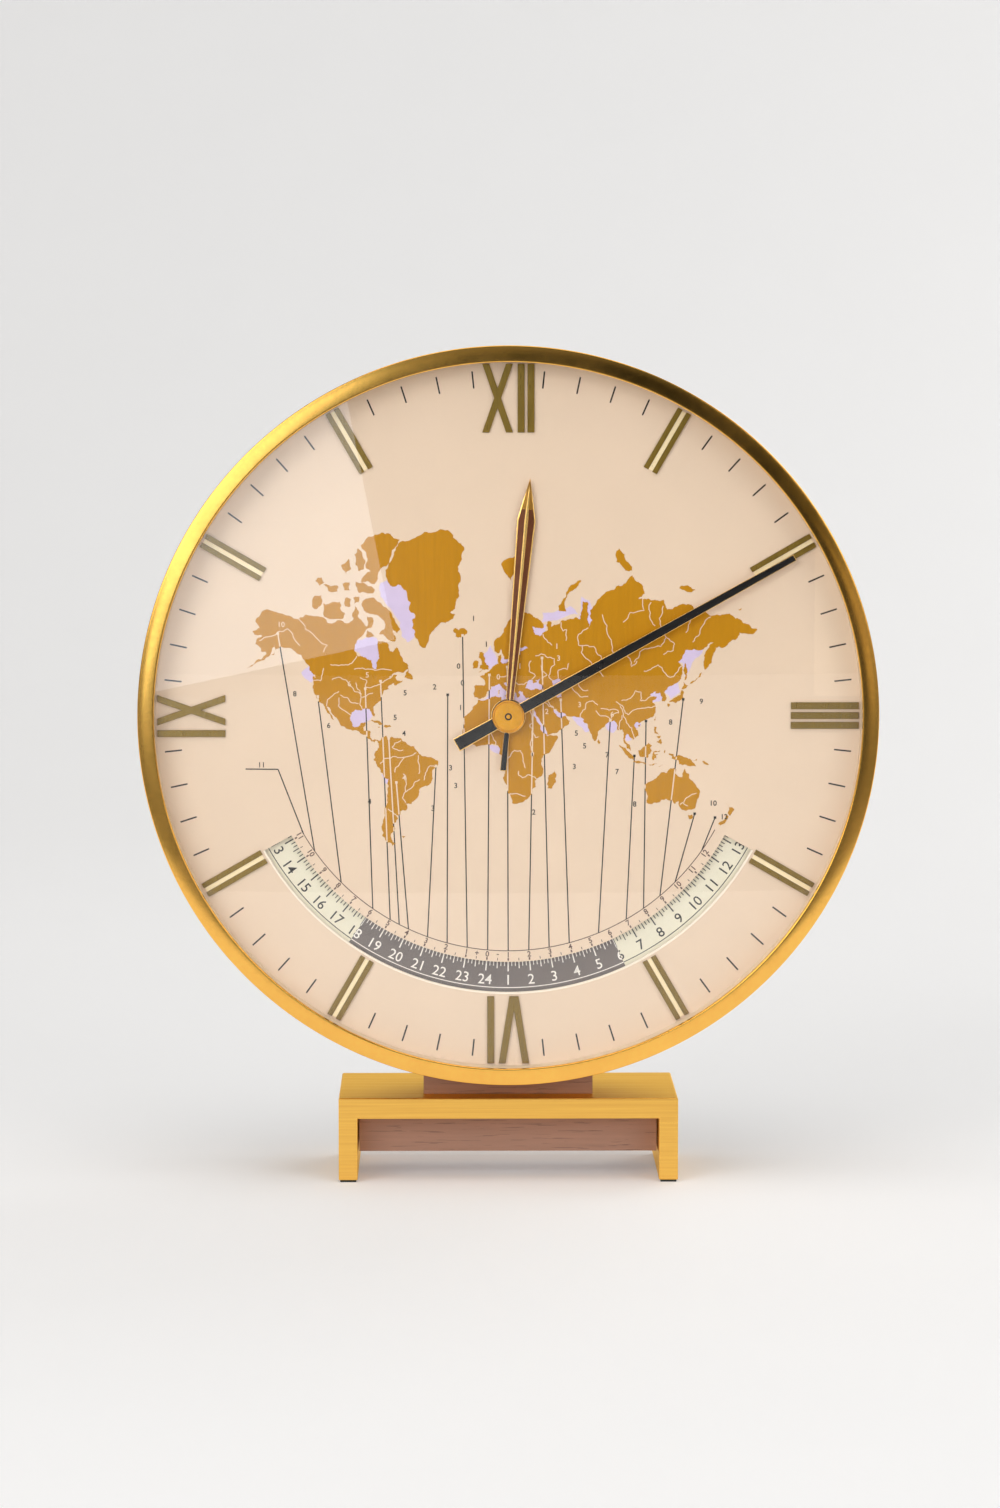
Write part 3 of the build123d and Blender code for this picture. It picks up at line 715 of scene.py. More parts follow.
def wood_material(tone):
    """Brown wood in satin lacquer, its grain along X."""
    material, tree, shader, place = new_material("Brown wood")
    grain = add_group(tree, "Wood grain", place)
    bands = two_tones(tree, grain.outputs["Bands"], shade(tone, 0.78), shade(tone, 1.2))
    full = two_tones(tree, grain.outputs["Pores"], bands, shade(tone, 0.66))
    tree.links.new(full, shader.inputs["Base Color"])
    rough = between(tree, grain.outputs["Bands"], 0.5, 0.36)
    tree.links.new(rough, shader.inputs["Roughness"])
    relief(tree, shader, grain.outputs["Bands"], 0.15)
    return material


def ring_material(name, night_tone, day_tone, roughness, spread):
    """A finish that changes between the night and the day parts of the ring."""
    material, tree, shader, place = new_material(name)
    night = add_group(tree, "Night part of the ring", place)
    varied = add_group(tree, "Surface variation", place)
    varied.inputs["Scale"].default_value = 90.0
    tones = [
        two_tones(tree, varied.outputs["Tone"], shade(tone, 1 - spread), shade(tone, 1 + spread))
        for tone in (day_tone, night_tone)
    ]
    both = two_tones(tree, night.outputs["Night"], *tones)
    tree.links.new(both, shader.inputs["Base Color"])
    rough = between(tree, varied.outputs["Tone"], roughness + 0.05, roughness - 0.05)
    tree.links.new(rough, shader.inputs["Roughness"])
    relief(tree, shader, varied.outputs["Relief"], 0.05)
    return material


class CLOCK_OT_stand(bpy.types.Operator):
    """Dress the bridge, the rail, the block and the small parts of the stand."""

    bl_idname = "clock.stand"
    bl_label = "Stand"

    def execute(self, context):
        wood = wood_material(context.scene.clock_colours.wood)
        brass, steel = finish("Brushed brass"), finish("Turned steel")
        dressed_copy("bridge_brushed", "stand_bridge", brass, "root", 0.35)
        dressed_copy("rail_wood", "under_rail", wood, "root", 0.5)
        dressed_copy("block_wood", "saddle_block", wood, "root", 0.3)
        dressed_copy("foot_felt", "foot_pads", finish("Felt"), "root", 0.15, 2)
        dressed_copy("stand_screw_head", "stand_screw", steel, "root", 0.3, 2)
        paint_node("clamp_nut", steel)
        return {"FINISHED"}


class CLOCK_OT_case(bpy.types.Operator):
    """Build the bezel, the glass and its rim, and dress the drum."""

    bl_idname = "clock.case"
    bl_label = "Bezel, glass and drum"

    def execute(self, context):
        front, back = front_of("bezel_ring"), back_of("bezel_ring")
        lip_back = front_of("case_drum")
        drum = reach_of("case_drum")
        rise, corner = 0.3, 0.4
        crown = np.linspace(0, 1, 12)
        face = SIGHT_RADIUS + corner + crown * (RIM_RADIUS - SIGHT_RADIUS - 2 * corner)
        face = np.stack([face, front + rise * crown**2], 1)
        turn = np.radians(np.linspace(10, 90, 6))
        edge = corner * np.stack([np.sin(turn), 1 - np.cos(turn)], 1)
        outer_edge = edge + [RIM_RADIUS - corner, front + rise]
        inner_edge = edge[::-1] * [-1, 1] + [SIGHT_RADIUS + corner, front]
        outer = [(RIM_RADIUS, back - 0.3), (RIM_RADIUS - 0.3, back)]
        inner = [(drum, back), (drum, lip_back), (SIGHT_RADIUS, lip_back)]
        bezel = lathe(np.concatenate([face, outer_edge, outer, inner, inner_edge]), 384)
        brass = finish("Polished brass")
        make_piece(
            "bezel_polished", bezel, brass, "root", ("bezel_ring",), sharp=32.0
        )
        glass_low, glass_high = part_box("glass")
        rise = 3.8
        rim_front = glass_low.y / MM + rise
        thickness = glass_high.y / MM - rim_front
        radius = np.linspace(0, SEAT_RADIUS, 40)
        dome = rim_front - rise * (1 - (radius / SEAT_RADIUS) ** 2)
        outside = np.stack([radius, dome], 1)
        inside = np.stack([radius, dome + thickness], 1)[::-1]
        glass = lathe(np.concatenate([outside, inside]))
        make_piece(
            "glass_dome", glass, glass_material(), "root", ("glass",), weld=True
        )
        front, back = front_of("sight_ring"), back_of("sight_ring")
        corners = [
            (SEAT_RADIUS, front),
            (SIGHT_RADIUS + 0.25, front),
            (SIGHT_RADIUS, front + 0.4),
            (SIGHT_RADIUS, back),
            (SEAT_RADIUS, back),
        ]
        rim = lathe(rounded(corners, 0.12), 384)
        make_piece("rim_cream", rim, finish("Cream rim"), "root", ("sight_ring",))
        lacquer = finish("Bronze lacquer")
        dressed_copy("drum_lacquered", "case_drum", lacquer, "root", 0.3, 2)
        return {"FINISHED"}


class CLOCK_OT_dial(bpy.types.Operator):
    """Finish the dial plate, the lip of its window and the minute ticks."""

    bl_idname = "clock.dial"
    bl_label = "Dial and minute ticks"

    def execute(self, context):
        sizes = context.scene.clock_sizes
        paint_node("dial_plate", finish("Cream dial"))
        layer = sizes.print_thickness / MM
        half = np.degrees(sizes.window_half_angle)
        angle = np.radians(np.linspace(-half, half, 120))[:, None]
        # The lip's section: past the window's outer edge, and back from the dial's face
        section = np.array(
            [(-0.05, 1.2), (-0.05, 0.5), (0.0, -0.02), (0.25, -0.09), (0.6, -0.04), (0.7, 0.05)]
        )
        radius = sizes.window_outer / MM + section[None, :, 0]
        depth = DIAL_FACE + section[None, :, 1]
        lip = capped(in_place(radius * np.sin(angle), -radius * np.cos(angle), depth))
        # The lip's paler cream is a painted highlight along the window's outer edge
        make_piece("window_lip", lip, finish("Window lip"), "root")
        inner, outer, width = (
            size / MM for size in (sizes.tick_inner, sizes.tick_outer, sizes.tick_width)
        )
        ticks = [
            strip(spoke(6.0 * minute, inner, outer), width, DIAL_FACE - layer, DIAL_FACE + layer)
            for minute in range(60)
            if minute % 5
        ]
        joined_piece("minute_ticks", ticks, finish("Black ink"))
        return {"FINISHED"}


class CLOCK_OT_markers(bpy.types.Operator):
    """Dress the applied batons and figures in satin gilt."""

    bl_idname = "clock.markers"
    bl_label = "Hour markers"

    def execute(self, context):
        gilt = finish("Satin gilt")
        for node in (
            "baton_markers", "numeral_twelve", "numeral_three", "numeral_six", "numeral_nine"
        ):
            dressed_copy(node + "_gilt", node, gilt, "root", 0.14, 2)
        # Between the two bars of each baton, a pale strip of painted reflection, for the light
        # that the bars' inner faces throw
        inner, outer, width = 99.8, 123.1, 1.5
        painted_reflection_strips = [
            strip(spoke(30.0 * hour, inner, outer), width, DIAL_FACE - 0.5, DIAL_FACE + 0.1)
            for hour in range(12)
            if hour % 3
        ]
        joined_piece("baton_strips", painted_reflection_strips, finish("Pale gilt"))
        return {"FINISHED"}


# Outlines of the land: a name and its longitude,latitude pairs in degrees
LAND = """
americas: -168,65.6 -164,66.5 -162,66.2 -166,68.3 -162,70 -156.5,71.3 -150,70.5 -141,69.7 -135,69
-129,70 -124,69.6 -120,69.5 -115,68.8 -114,67.9 -109,68 -107,68.6 -102,67.8 -98,68 -95.5,68.8
-96,70.5 -94.5,72 -92,71 -92.5,69.7 -90,68.8 -87.5,67.2 -86,66.8 -85.5,69.5 -81.5,69.2 -81.3,68
-82,66.8 -86,66.2 -87,65.3 -89,64 -92,63 -94.5,60.5 -94.7,58.8 -92.5,57 -88,56.5 -82.5,55.2
-82.2,53 -80.5,51.5 -79,51.5 -79,54.5 -77,56 -77.5,58.5 -78.3,60 -77.7,62.4 -73.5,62.2 -70,61
-69.5,59 -67.5,58.5 -66,59.5 -64.5,60.3 -62,58 -60,55.5 -56,53 -56,51.5 -59,50.2 -64,50.3 -67,49.5
-70,47.3 -67,48.8 -64.3,48.8 -65,47 -64,46 -61,45.8 -60,46.5 -63.5,44.5 -66,43.6 -66.3,44.6
-67,44.8 -70,43.6 -70.8,42.2 -70,41.7 -74,40.6 -74.5,39 -76,36.8 -75.6,35.3 -78,33.9 -81,31.8
-81.2,29.5 -80.1,26.8 -80.6,25.2 -81.8,26 -82.7,28 -83.8,29.9 -86,30.3 -89.5,30.2 -89.3,29.2
-91.5,29.5 -94.5,29.6 -97,28 -97.4,26 -97.8,22.5 -96.5,19.3 -94.5,18.2 -92,18.6 -90.7,19.5 -90.3,21
-87,21.5 -87.7,18.8 -88.3,15.8 -86,15.9 -83.3,15 -83.7,12.5 -83.6,10.8 -82,9 -79.6,9.6 -77.3,8.6
-75.5,10.6 -72,12.2 -71.3,10.9 -68,11.5 -66,10.5 -62,10.6 -60.5,8.5 -57,6 -52,4.8 -50,1.2
-48.5,-0.8 -44.5,-2.5 -40,-2.9 -37,-4.8 -35.2,-5.5 -34.8,-8 -37,-11.2 -39,-13.5 -39,-17 -40.8,-21.8
-42,-23 -46,-24 -48.6,-26 -48.8,-28.5 -52,-32.5 -54,-34.7 -58,-34.2 -57,-36.3 -57.7,-38.2 -62,-39
-62.3,-40.8 -65,-41 -63.7,-42.8 -65.3,-45 -67.5,-46.2 -65.8,-47.8 -69,-50.5 -68.5,-52.3 -65.2,-54.8
-68,-55.6 -72,-53.8 -75,-51.5 -75.6,-47.8 -74.6,-44.5 -73.5,-41.8 -73.6,-37.2 -71.7,-32.5 -71.5,-29
-70.4,-23.5 -70.3,-18.4 -76,-14 -79,-8.5 -81.2,-5.5 -80,-3.2 -80.8,-1 -80,0.8 -78.7,1.6 -77.3,4
-77.8,7 -78.6,8.6 -80.3,8.3 -80.3,7.4 -82.8,8.2 -84.8,10 -85.8,11 -87.5,13 -91,13.9 -94,16.2
-96.5,15.8 -100,17 -104.5,19 -105.5,20.5 -106.5,23 -109.3,25.6 -112,28.8 -113.2,31.2 -114.7,31.7
-113,28.8 -111,26 -109.5,23.2 -110.3,23.3 -112.2,25.5 -114.5,27.8 -115.8,30 -117.2,32.8 -120.6,34.5
-122.5,37.5 -124.2,40.4 -124.2,44 -124.6,48.3 -122.5,47.3 -123.2,49 -127,51 -130,54.5 -133,57.5
-137,58.7 -140,59.8 -144,60 -148,60.5 -151.5,59.3 -151.8,61 -154,58.8 -158,56.5 -162.5,55 -167,53.6
-172,52.2 -166,54.6 -161,56 -157.7,57.8 -158.5,58.8 -162,58.7 -162,60 -166,61.5 -164.8,63 -161,64
-162,64.5 -166.3,64.5;
greenland: -72.5,78.5 -67,80.2 -60,82 -50,82.4 -38,82.8 -25,82.7 -21,82 -16,81.3 -19,79.5 -18.5,77
-20,75.5 -19.5,74 -22,72.8 -23.5,71.2 -26,70.5 -22.5,70 -27,68.3 -32.5,68 -37.5,65.8 -40.5,64.5
-42.5,61.5 -43.8,60 -48,61 -51,63.5 -53.5,66.5 -53.5,68.5 -51,69.8 -54.5,70.6 -54.5,72.8 -58,75.2
-63,76.2 -69,76 -71,77;
baffin: -80.5,73.7 -77,72.8 -71,71.3 -67.5,69.5 -64,67.3 -62,66 -64,65 -67,66 -65,63.5 -66,62.2
-71,63 -74,64.5 -77.5,64.6 -73.5,66 -72.5,67.5 -74.5,68.7 -79,70 -84,70.2 -88,71 -89,73 -85,73.6;
ellesmere: -90,76.6 -80,76.3 -78,77.5 -75,78.8 -68,80.5 -62,82.1 -70,82.7 -80,82.6 -87,82 -90,81.5
-86,80.4 -87,79.2 -83,78.2 -88,77.6;
heiberg: -95,80.5 -92,81.2 -88.5,80.2 -88,78.6 -92,78.3 -94,79.2;
ringnes: -104,79.2 -99,80 -97,78.6 -101,78;
devon: -94,76.7 -85,75.9 -80,75.4 -82,74.6 -91,74.7 -93,75.8;
bathurst: -103,76.4 -98,76.6 -98,75.1 -102,75.2;
melville: -117,76.2 -112,75.9 -106,75.8 -107,74.9 -113,75;
patrick: -123,76.9 -118,77.4 -116,76.6 -120,76;
banks: -125,72 -123,71.3 -120,71.9 -117.5,73.2 -118.5,74.3 -123,74.2;
victoria: -117,70.5 -117.5,72.6 -113,72.4 -110,73 -105,73 -105,71.6 -101.5,70.4 -102.5,69.2
-108,68.9 -113,68.9 -116,69.4;
wales: -102,72.8 -100,73.9 -97.5,73.6 -98,71.8 -100.5,71.9;
somerset: -95.5,73.8 -91,73.9 -91.5,72.8 -95,72.5;
southampton: -86.5,64 -83.5,63.6 -80.5,64 -83,65.2 -85.5,65.8;
newfoundland: -59,47.7 -56,46.9 -53,46.8 -53.5,48.5 -55.8,49.8 -55.6,51.4 -57.5,50.3;
kodiak: -154.6,57.4 -152.3,58.3 -152.6,57.3;
cuba: -84.8,21.9 -82.5,23.1 -79.5,22.7 -75.5,21 -74.3,20.2 -77.5,19.9 -78.3,21 -82,22.2;
hispaniola: -74.3,18.4 -73,19.9 -69.8,19.7 -68.5,18.4 -71.5,17.8;
jamaica: -78,18.5 -76.4,18.2 -77.6,17.8;
falklands: -61,-51.5 -58,-51.5 -60,-52.3;
iceland: -24,65.5 -22.5,66.4 -20,65.8 -16,66.4 -13.8,65 -18.5,63.5 -22.5,63.9 -22,64.8;
old_world: -9.3,38.7 -9,42.8 -8,43.7 -1.8,43.4 -1.2,46 -4.6,48.2 -1.6,48.7 -1.3,49.7 1.5,50.3
4.5,52.5 7,53.5 8.7,53.9 8.1,55.6 8.2,57 10.6,57.7 10.5,56 9.8,54.9 11,54 14,54 18.5,54.7 20.5,55
21.3,57 22.5,57.6 24.2,57.2 24,58.8 28,59.6 29.8,59.9 28,60.6 23,59.9 21.3,61 22,63 25.2,65 24,65.8
21.5,64.8 20,63.5 17.3,61.5 17.5,60.3 18.8,59.6 16.6,57.7 15.9,56.1 14.2,55.5 12.8,55.6 11.8,57.7
11,59 10.5,59.6 8,58 5.6,58.8 5,61 8,63.5 11,64.5 13,66.5 15.5,68.3 19.5,69.9 25,71 31,70.3 37,69
41,67.5 41,66.5 35,66.4 33,66.8 34.8,64.5 38,64 40,64.8 44,66 44,68.3 46.5,68 46.5,66.8 54,68.5
60,69 64.5,69.3 67,68.8 68.5,71 69,73 72.5,72.8 72.7,70.5 73,68 74,66.8 76,68.5 74.3,71 78,72.3
81,73.6 87,75 94,76 100,76.5 104.3,77.7 107,76.8 112,76 113.5,74.5 109,73.5 118,73.2 123,73.2
127,73.3 129.5,71.2 134,71.5 139.5,72.3 147,72.3 152,71 160,69.8 168,69.8 176,69.8 182,68.8
187,67.5 194.5,66 190,64.5 181.5,65 178.5,62.6 174,61.8 170,60 164.5,60 163,58 162,56 159.8,53.2
156.7,51 155.7,54.5 156,57 160,60.5 163.5,62 160.5,61.8 155,59.3 149,59.6 143,59.3 137.5,54.5
140.5,53 140.6,50.5 140,48 136,44.5 132,43.2 129.8,41.5 127.5,39.8 129.4,37 129,35.2 126.3,34.6
126.5,37 125,38.5 124.8,39.8 121.3,38.9 122,40.5 119,39.2 117.7,38.7 119,37.3 122.5,37.3 119.3,35
121,32.8 121.9,31 121.5,28.5 118.5,24.6 114,22.4 110.5,21.2 109.7,20.4 108.2,21.6 105.8,19
108.8,15.5 109.2,12 106.7,10.4 104.8,8.7 104.8,10.3 102.3,12.2 100.8,13.5 99.9,11.8 99.2,9.5
100.4,7.2 102.5,6 103.4,3.7 103.8,1.4 101.2,3 100.3,6 98.3,8.2 98.6,12 97.6,16.4 94.3,16 94.2,19
91.8,22.5 88.5,21.7 86.8,20.8 82.3,16.6 80.2,15 80.2,12.5 79,9.3 77.5,8.1 76,10.5 73.8,16 72.8,20
70.5,20.8 69,22.3 70.2,23 67.3,24.8 61.5,25.1 57.2,25.7 56.4,27.1 52.5,27.5 50.2,30 48,30 50,26.7
51.5,25 54,24.2 56.3,26 59.8,22.5 57.5,19 55,17.2 52,15.8 45,12.8 43.4,12.8 42.7,16.5 39.2,21
37.3,24.3 35,28 34.6,29.5 34.2,27.8 32.6,29.9 33.8,27 35.6,23.8 37.3,20.8 38.7,18 39.9,15 43.3,12
51.2,11.8 50.8,9.5 48,4.5 42.5,-1 39.5,-4.5 39.4,-7.5 40.6,-11 40.6,-15 36.8,-18 34.8,-20
35.5,-23.8 32.8,-26 32.4,-28.7 30,-31.3 26,-33.8 20,-34.8 18.3,-34 18.2,-32 15.2,-26.8 14.4,-22.5
11.8,-18 13.5,-12.5 12.3,-6.2 9,-1 9.8,2.5 8.8,4.6 4.5,6.3 1,6 -4,5.2 -7.5,4.4 -13,8.8 -16.7,12.5
-17.4,14.8 -16.3,19.5 -17,21 -14.5,26 -10,29.5 -9.7,31.5 -6,35.7 -2,35.2 3,36.8 10,37.3 11,37
10.3,34.3 15.3,32.3 19,30.3 20.2,32.5 25,31.7 29.5,31 32.3,31.2 34.3,31.3 35.8,35.5 36,36.8 32,36.2
28,36.8 26.3,38.5 26.2,40.2 24,40.8 22.8,39.8 24,38 22.5,36.6 21.3,38.3 19.4,41.5 16,43.5 13.7,45.2
12.4,44.8 13.7,43.5 16,41.8 18.3,40.2 16.8,40.5 16.5,38.8 15.8,38 15.5,40 12.5,41.6 10.3,43.3
8.8,44.4 6,43.1 3.2,43.2 3.2,41.9 0.3,40 -0.3,38.8 -2,36.8 -5.5,36.1 -8.8,37;
black_sea: 28,42 28.8,44 30.5,46.3 33.2,46 33.5,44.6 36.3,45.2 35,46.2 38.8,47 37.3,45 39.5,43.8
41.5,41.8 38,41.1 35,41.9 31.2,41.2;
caspian: 47,45.5 50.5,46.8 53,46.6 53,45 51,44.5 52.5,42 53.8,39 53.8,37 50.2,37.4 49,39.5
49.8,40.5 47.6,43;
aral: 58.5,45 60,46.5 61.5,45.5 59.5,43.8;
victoria_lake: 32,0.2 34,0.2 33.5,-2.5 32,-2.3;
britain: -5.7,50 1.3,51.2 1.7,52.7 0.2,53.3 -1.5,55 -2,57.6 -3.2,58.6 -5,58.5 -5.7,56.5 -3.5,54.8
-3,53.4 -4.8,53 -5.2,51.8 -3,51.4;
ireland: -6.3,52.2 -6,53.5 -5.6,54.6 -7.5,55.3 -10,54.2 -9.6,53 -10,51.8;
sicily: 12.5,38 15.5,38.2 15,36.8;
sardinia: 8.4,39 8.4,41 9.7,41 9.5,39.2;
crete: 23.6,35.4 26.2,35.3 24.8,35;
cyprus: 32.4,35 34.4,35.6 33.6,34.7;
spitsbergen: 11,79.5 15,80 22,80.3 26,80 24,78.4 17,76.7 13.5,78;
zemlya: 51.5,71 54,73 57,74.8 62,76.2 68,76.9 66,76 59,74.6 56,72.5 57,70.7 53.5,70.8;
severnaya: 93,79.6 95,81.2 99,80.5 103,79.2 104.5,78.4 99.5,78.4;
new_siberia: 138,75.6 143,76 150,75.2 144,74.8;
wrangel: 180,71.2 183,71.5 182,70.9;
sakhalin: 142,46.2 142,50 142.5,54.3 143.3,53 143.8,49.5 143.5,46.8;
hokkaido: 140,41.6 141.5,45.4 145.2,43.4 143.3,42;
honshu: 131,34 132.7,35.5 136.5,37.2 139.5,38.5 140.2,41 141.9,39.5 140.8,36 138.8,34.8 135.7,33.5
134,34.5;
kyushu: 130,33.3 131.9,33.2 131,31.3 130.2,31.5;
kurils: 146,44.2 152,47.5 155,50 153,47.6;
taiwan: 120.2,23 121.5,25.2 121,22.2;
hainan: 108.8,19.3 110.8,19.9 109.5,18.3;
luzon: 120.3,16 120.8,18.5 122.2,18.3 121.6,15.8 124,13 122.5,13.5 120.7,13.8;
mindanao: 122,7.2 123.8,8.5 125.6,9.7 126.4,7.3 125.4,5.8 124,6.8;
visayas: 122.2,11.6 125.2,12 123.8,10;
borneo: 109,1.5 111.5,2.7 114,4.8 116.8,7 119,5.2 117.6,3.5 118.8,1 116.4,-1.5 116,-4 113,-3.2
110.2,-2.9 109.2,-0.5;
sumatra: 95.4,5.6 98,4 100.5,2.2 103.6,-0.8 106,-3 105.8,-5.8 102.3,-4 99.5,-0.3 97.5,2.5;
java: 105.3,-6.8 106.2,-6 110.8,-6.5 114.4,-7.7 114.3,-8.7 108,-7.8;
sunda: 116,-8.4 123,-8.3 119,-9.2;
timor: 123.6,-10.3 127,-8.4 126,-9;
sulawesi: 119.5,-5.5 119,-3 120,0.8 123,0.9 125,1.6 124.3,0.4 121,0.4 120.6,-1 123.2,-0.9 121.7,-2
122.8,-4.6 121.3,-4.5 120.9,-2.9 120.4,-5.5;
halmahera: 127.5,1 128.2,2 128.6,0.5 127.9,-0.6;
new_guinea: 131,-0.8 134,-0.9 135,-3.2 138,-1.8 144.5,-3.9 147.8,-6.2 150.7,-10.3 147.5,-9.7
143.5,-8.8 141,-9.1 138.5,-8.2 138,-5.6 133,-4 133.5,-2.5 131,-1.5;
new_britain: 148.5,-5.8 152,-4.3 151,-5.9;
solomons: 155,-6 160,-9 156,-7.5;
australia: 113.8,-22.5 114,-26.3 115.7,-31.8 115.2,-34.2 118,-35 123.5,-33.9 129,-31.6 134,-32.8
135.8,-34.8 138,-33 138.3,-35.5 140.5,-38 143.5,-38.8 147,-38 150,-37.4 151.3,-33.5 153.2,-30
153.2,-26 150.8,-23.4 147.5,-19.8 145.8,-17 145.3,-15 143.5,-14.3 142.6,-10.8 141.7,-13 140.8,-17.5
137,-16 135.7,-14.8 136.8,-12.2 132.5,-11.3 130,-13.5 129,-14.9 126,-14 123.8,-16.5 122.2,-18
119,-20 116,-20.8;
tasmania: 144.8,-40.8 148.2,-40.9 147.8,-43.2 146,-43.5;
zealand_north: 172.7,-34.5 174.8,-36.8 178.4,-37.7 177,-39.5 175.2,-41.6 173.8,-39.3 174.8,-38;
zealand_south: 172.7,-40.6 174.2,-41.6 172.8,-43.8 170.7,-45.8 168.5,-46.6 166.6,-46;
madagascar: 49.2,-12 50.3,-15.8 47.2,-25 44.2,-25 43.5,-22 44.4,-19.8 44.5,-16.2 47.5,-14.8;
ceylon: 79.8,8.5 80.5,9.7 81.8,7.3 80.5,6
"""

# Enclosed and coastal seas that carry the tint; the land covers their edges
SEAS = """
-96,59.5 -88,56 -82.5,54.5 -82,51 -78.5,50.5 -76,56 -77,60 -79,63.5 -86,63.6 -93,62.6
-76,76.5 -68,77 -60,76.5 -53,72 -50,68 -52,63.5 -57,62 -61,64 -62,68 -69,71.5 -76,74
-98,28 -92,31 -83,31 -82,26 -84,23 -90,20.5 -95,17.5 -98,20
-6,36 -1,36 3,42 8,45 13,46 20,42 24,41 27,38 36,37 35,31 20,29.5 10,33 10,37 0,35
27,42 29,45 31,47 39,48 38,45 42,41.5 36,40 29,40.5
46,45 50,47.5 54,47 54,44.5 54.5,38 54,36 50,36.5 48,40
10,54 14,53 20,54 25,57 31,59.5 29,61.5 22,61 26,66 23,66.5 17,62 17,58 11,56
-3,57 3,61 6,58 8,54 3,51.5 0,53
32,63.5 42,64 43,67.5 35,67 32,67.5
34,30 37,25 40,19 44,12 42.5,11.5 38.5,16 35,23 32,29
47,30.5 52,28.5 57,27.5 57,25 51,23.5
61,26 68,25.5 72,20 74,15.5 71,14.5 65,20
86,22 92,23.5 95,17 91,14 86,17
137,54 141,54 142,48 150,56 158,61 152,60.5 142,60
117,38.5 122,41.5 125,40 127,36 122,34.5 119,34
128,40 132,43.5 138,46 139,40 132,36
0,6 6,5 9.5,4 9,-1 6,0
66,69 70,67 75,65.5 79,68 74,73 68,74
40,68 60,70 66,70 60,72 48,70.5 40,70.5
-133,50 -126,53 -123,47 -126,45
-76,-15 -70,-17 -70,-22 -74,-21
105,22 110,22.5 111,19 107,17
100,15 103,13 104,9 101,8 99,12
"""

# Rivers and borders that show cream in the gilt
RIVERS = """
-89.3,30 -91,33 -90,37 -91,41 -94,45
-90.5,38.8 -95,40.5 -97,43 -101,46.5 -106,47.8 -111,46.5
-89.2,37 -85.5,38.5 -81.5,39.5
-92,33.5 -97,34 -100,37 -105,38.5
-97.2,26 -100,28 -104,30 -106.5,32 -106,37
-114.8,32 -114,36 -110,38.5 -106,40.5
-124,46.2 -119,46 -118,49 -117,52
-135,69 -130,66 -124,64.5 -118,61.5 -114,61 -117,58.5
-163,62.5 -157,63.8 -150,65.3 -143,66.3 -137,62.5 -134,60.8
-93,57 -97,54 -101,53.5 -106,53 -112,53.5
-66,49.8 -70.5,47 -74,45.3 -79,43.5 -83,42.5 -87,43 -86,46 -91,47.5
-95,51.5 -89,52 -84,51.5 -76,51.5 -68,51
-50.5,0 -55,-2.3 -60,-3.2 -65,-2.8 -70,-4 -74,-4.5 -76.5,-8
-61.5,8.8 -66,7 -68,4 -66,2.8 -60,2
-59,-3.5 -62,-7 -65.3,-10.5 -66,-14
-49,-1.8 -49.3,-6 -48.3,-11 -48.8,-15
-36.5,-10.5 -40.5,-9.3 -44,-14.5 -45,-19.5
-58.3,-34 -60.5,-31 -58.7,-27.3 -54.5,-25 -51.5,-20.5 -48,-19
-58.5,-27.3 -57.6,-22 -57.8,-18 -60,-15
-65,-41 -68,-39 -71,-37.5
31.2,30.8 32.7,25.5 33,21 31,19 33.5,17 32.5,15.5 32.6,11 31.5,7 32,3 33,0
32.5,15.5 35,11 37.3,11.5
12.8,-6 15.5,-4 17.5,-1 20,1.8 24.5,1.5 26,-3 27,-8 28,-11
6,4.8 6.7,8 4,12 1,15.5 -3,16.7 -7,13 -10,10.5
36,-18.7 33,-17 29.5,-15.8 25.8,-17.9 23,-16 23,-13
16.5,-28.6 20,-28.5 24,-29 28,-30
73,66.5 66,64.5 66,61 71,60.9 77,60.5 82,57 84,54 86,52.3
68.8,61 68,58.3 73,55.5 76,53 80,50.5 84,48
83,70 86.5,67 87.5,64 90,61 92,57.5 92.5,55
92,58 98,58 103,56 104,52.5 108,55
126.7,72 124,69 124.5,66 129,63.5 125,60.5 118,60 110,58.5 106,54.5
129.5,63.4 135,61.5 134,59 127,57.5
161,69.4 155,67 152,64 148,62
149,71 146,68 143,65
112,73.5 113,71 103,70.5 98,68
118,72.8 117,69.5 121,67
141,53 137,50 135,48.4 131,47.8 127.5,50 123,53.3 119,52 113,50.5
119,37.7 114,35 110.5,35 111,40 107,40.7 104,37 101,35.5 97,35
121,31.8 117,31 114,30.5 111,30.3 106.5,29.5 102,26.3 99.5,27.5 98.5,31 93,34.5
106.5,10 105,14 104.5,17.5 101,20.5 99.8,24 98,28 96,32
95.5,16 95.5,21 97.3,26
90,23 87,25 82,25.5 78.5,29
90,24 90,26 95,27.5 94,29.3 88,29.3 82,30.3
67.5,24 68,27.5 71,30 72,34 76,35 80,32.5
48.3,30.3 45.5,32.5 43,36 40.5,38
47.5,30.9 43,33.5 40,35.5 38.5,38.5
48,46 44.7,48.5 46,51.5 49,53.5 48.8,55.8 44,56.3 39,57.8 35,57
39.5,47.2 43.5,48.8 40,50.5 39,53
32.3,46.6 35,48.5 30.6,50.5 30.5,53 32,55
29.5,45.2 27,44 23,44 19,45.5 18.8,47.8 14,48.3 9,48.2
51.5,47 51.5,51 58,51.3 59,54
59,43.7 63,40.5 67.5,37.2 73,37.5
61,46 66,44.5 69,41 73,41
40.5,64.6 44,62 47,61
53.5,68 55,65.5 57.5,66 57,62.5
139.3,-35.3 141,-34 145,-36
141.9,-34.1 144,-31 147.5,-29 151,-28
"""

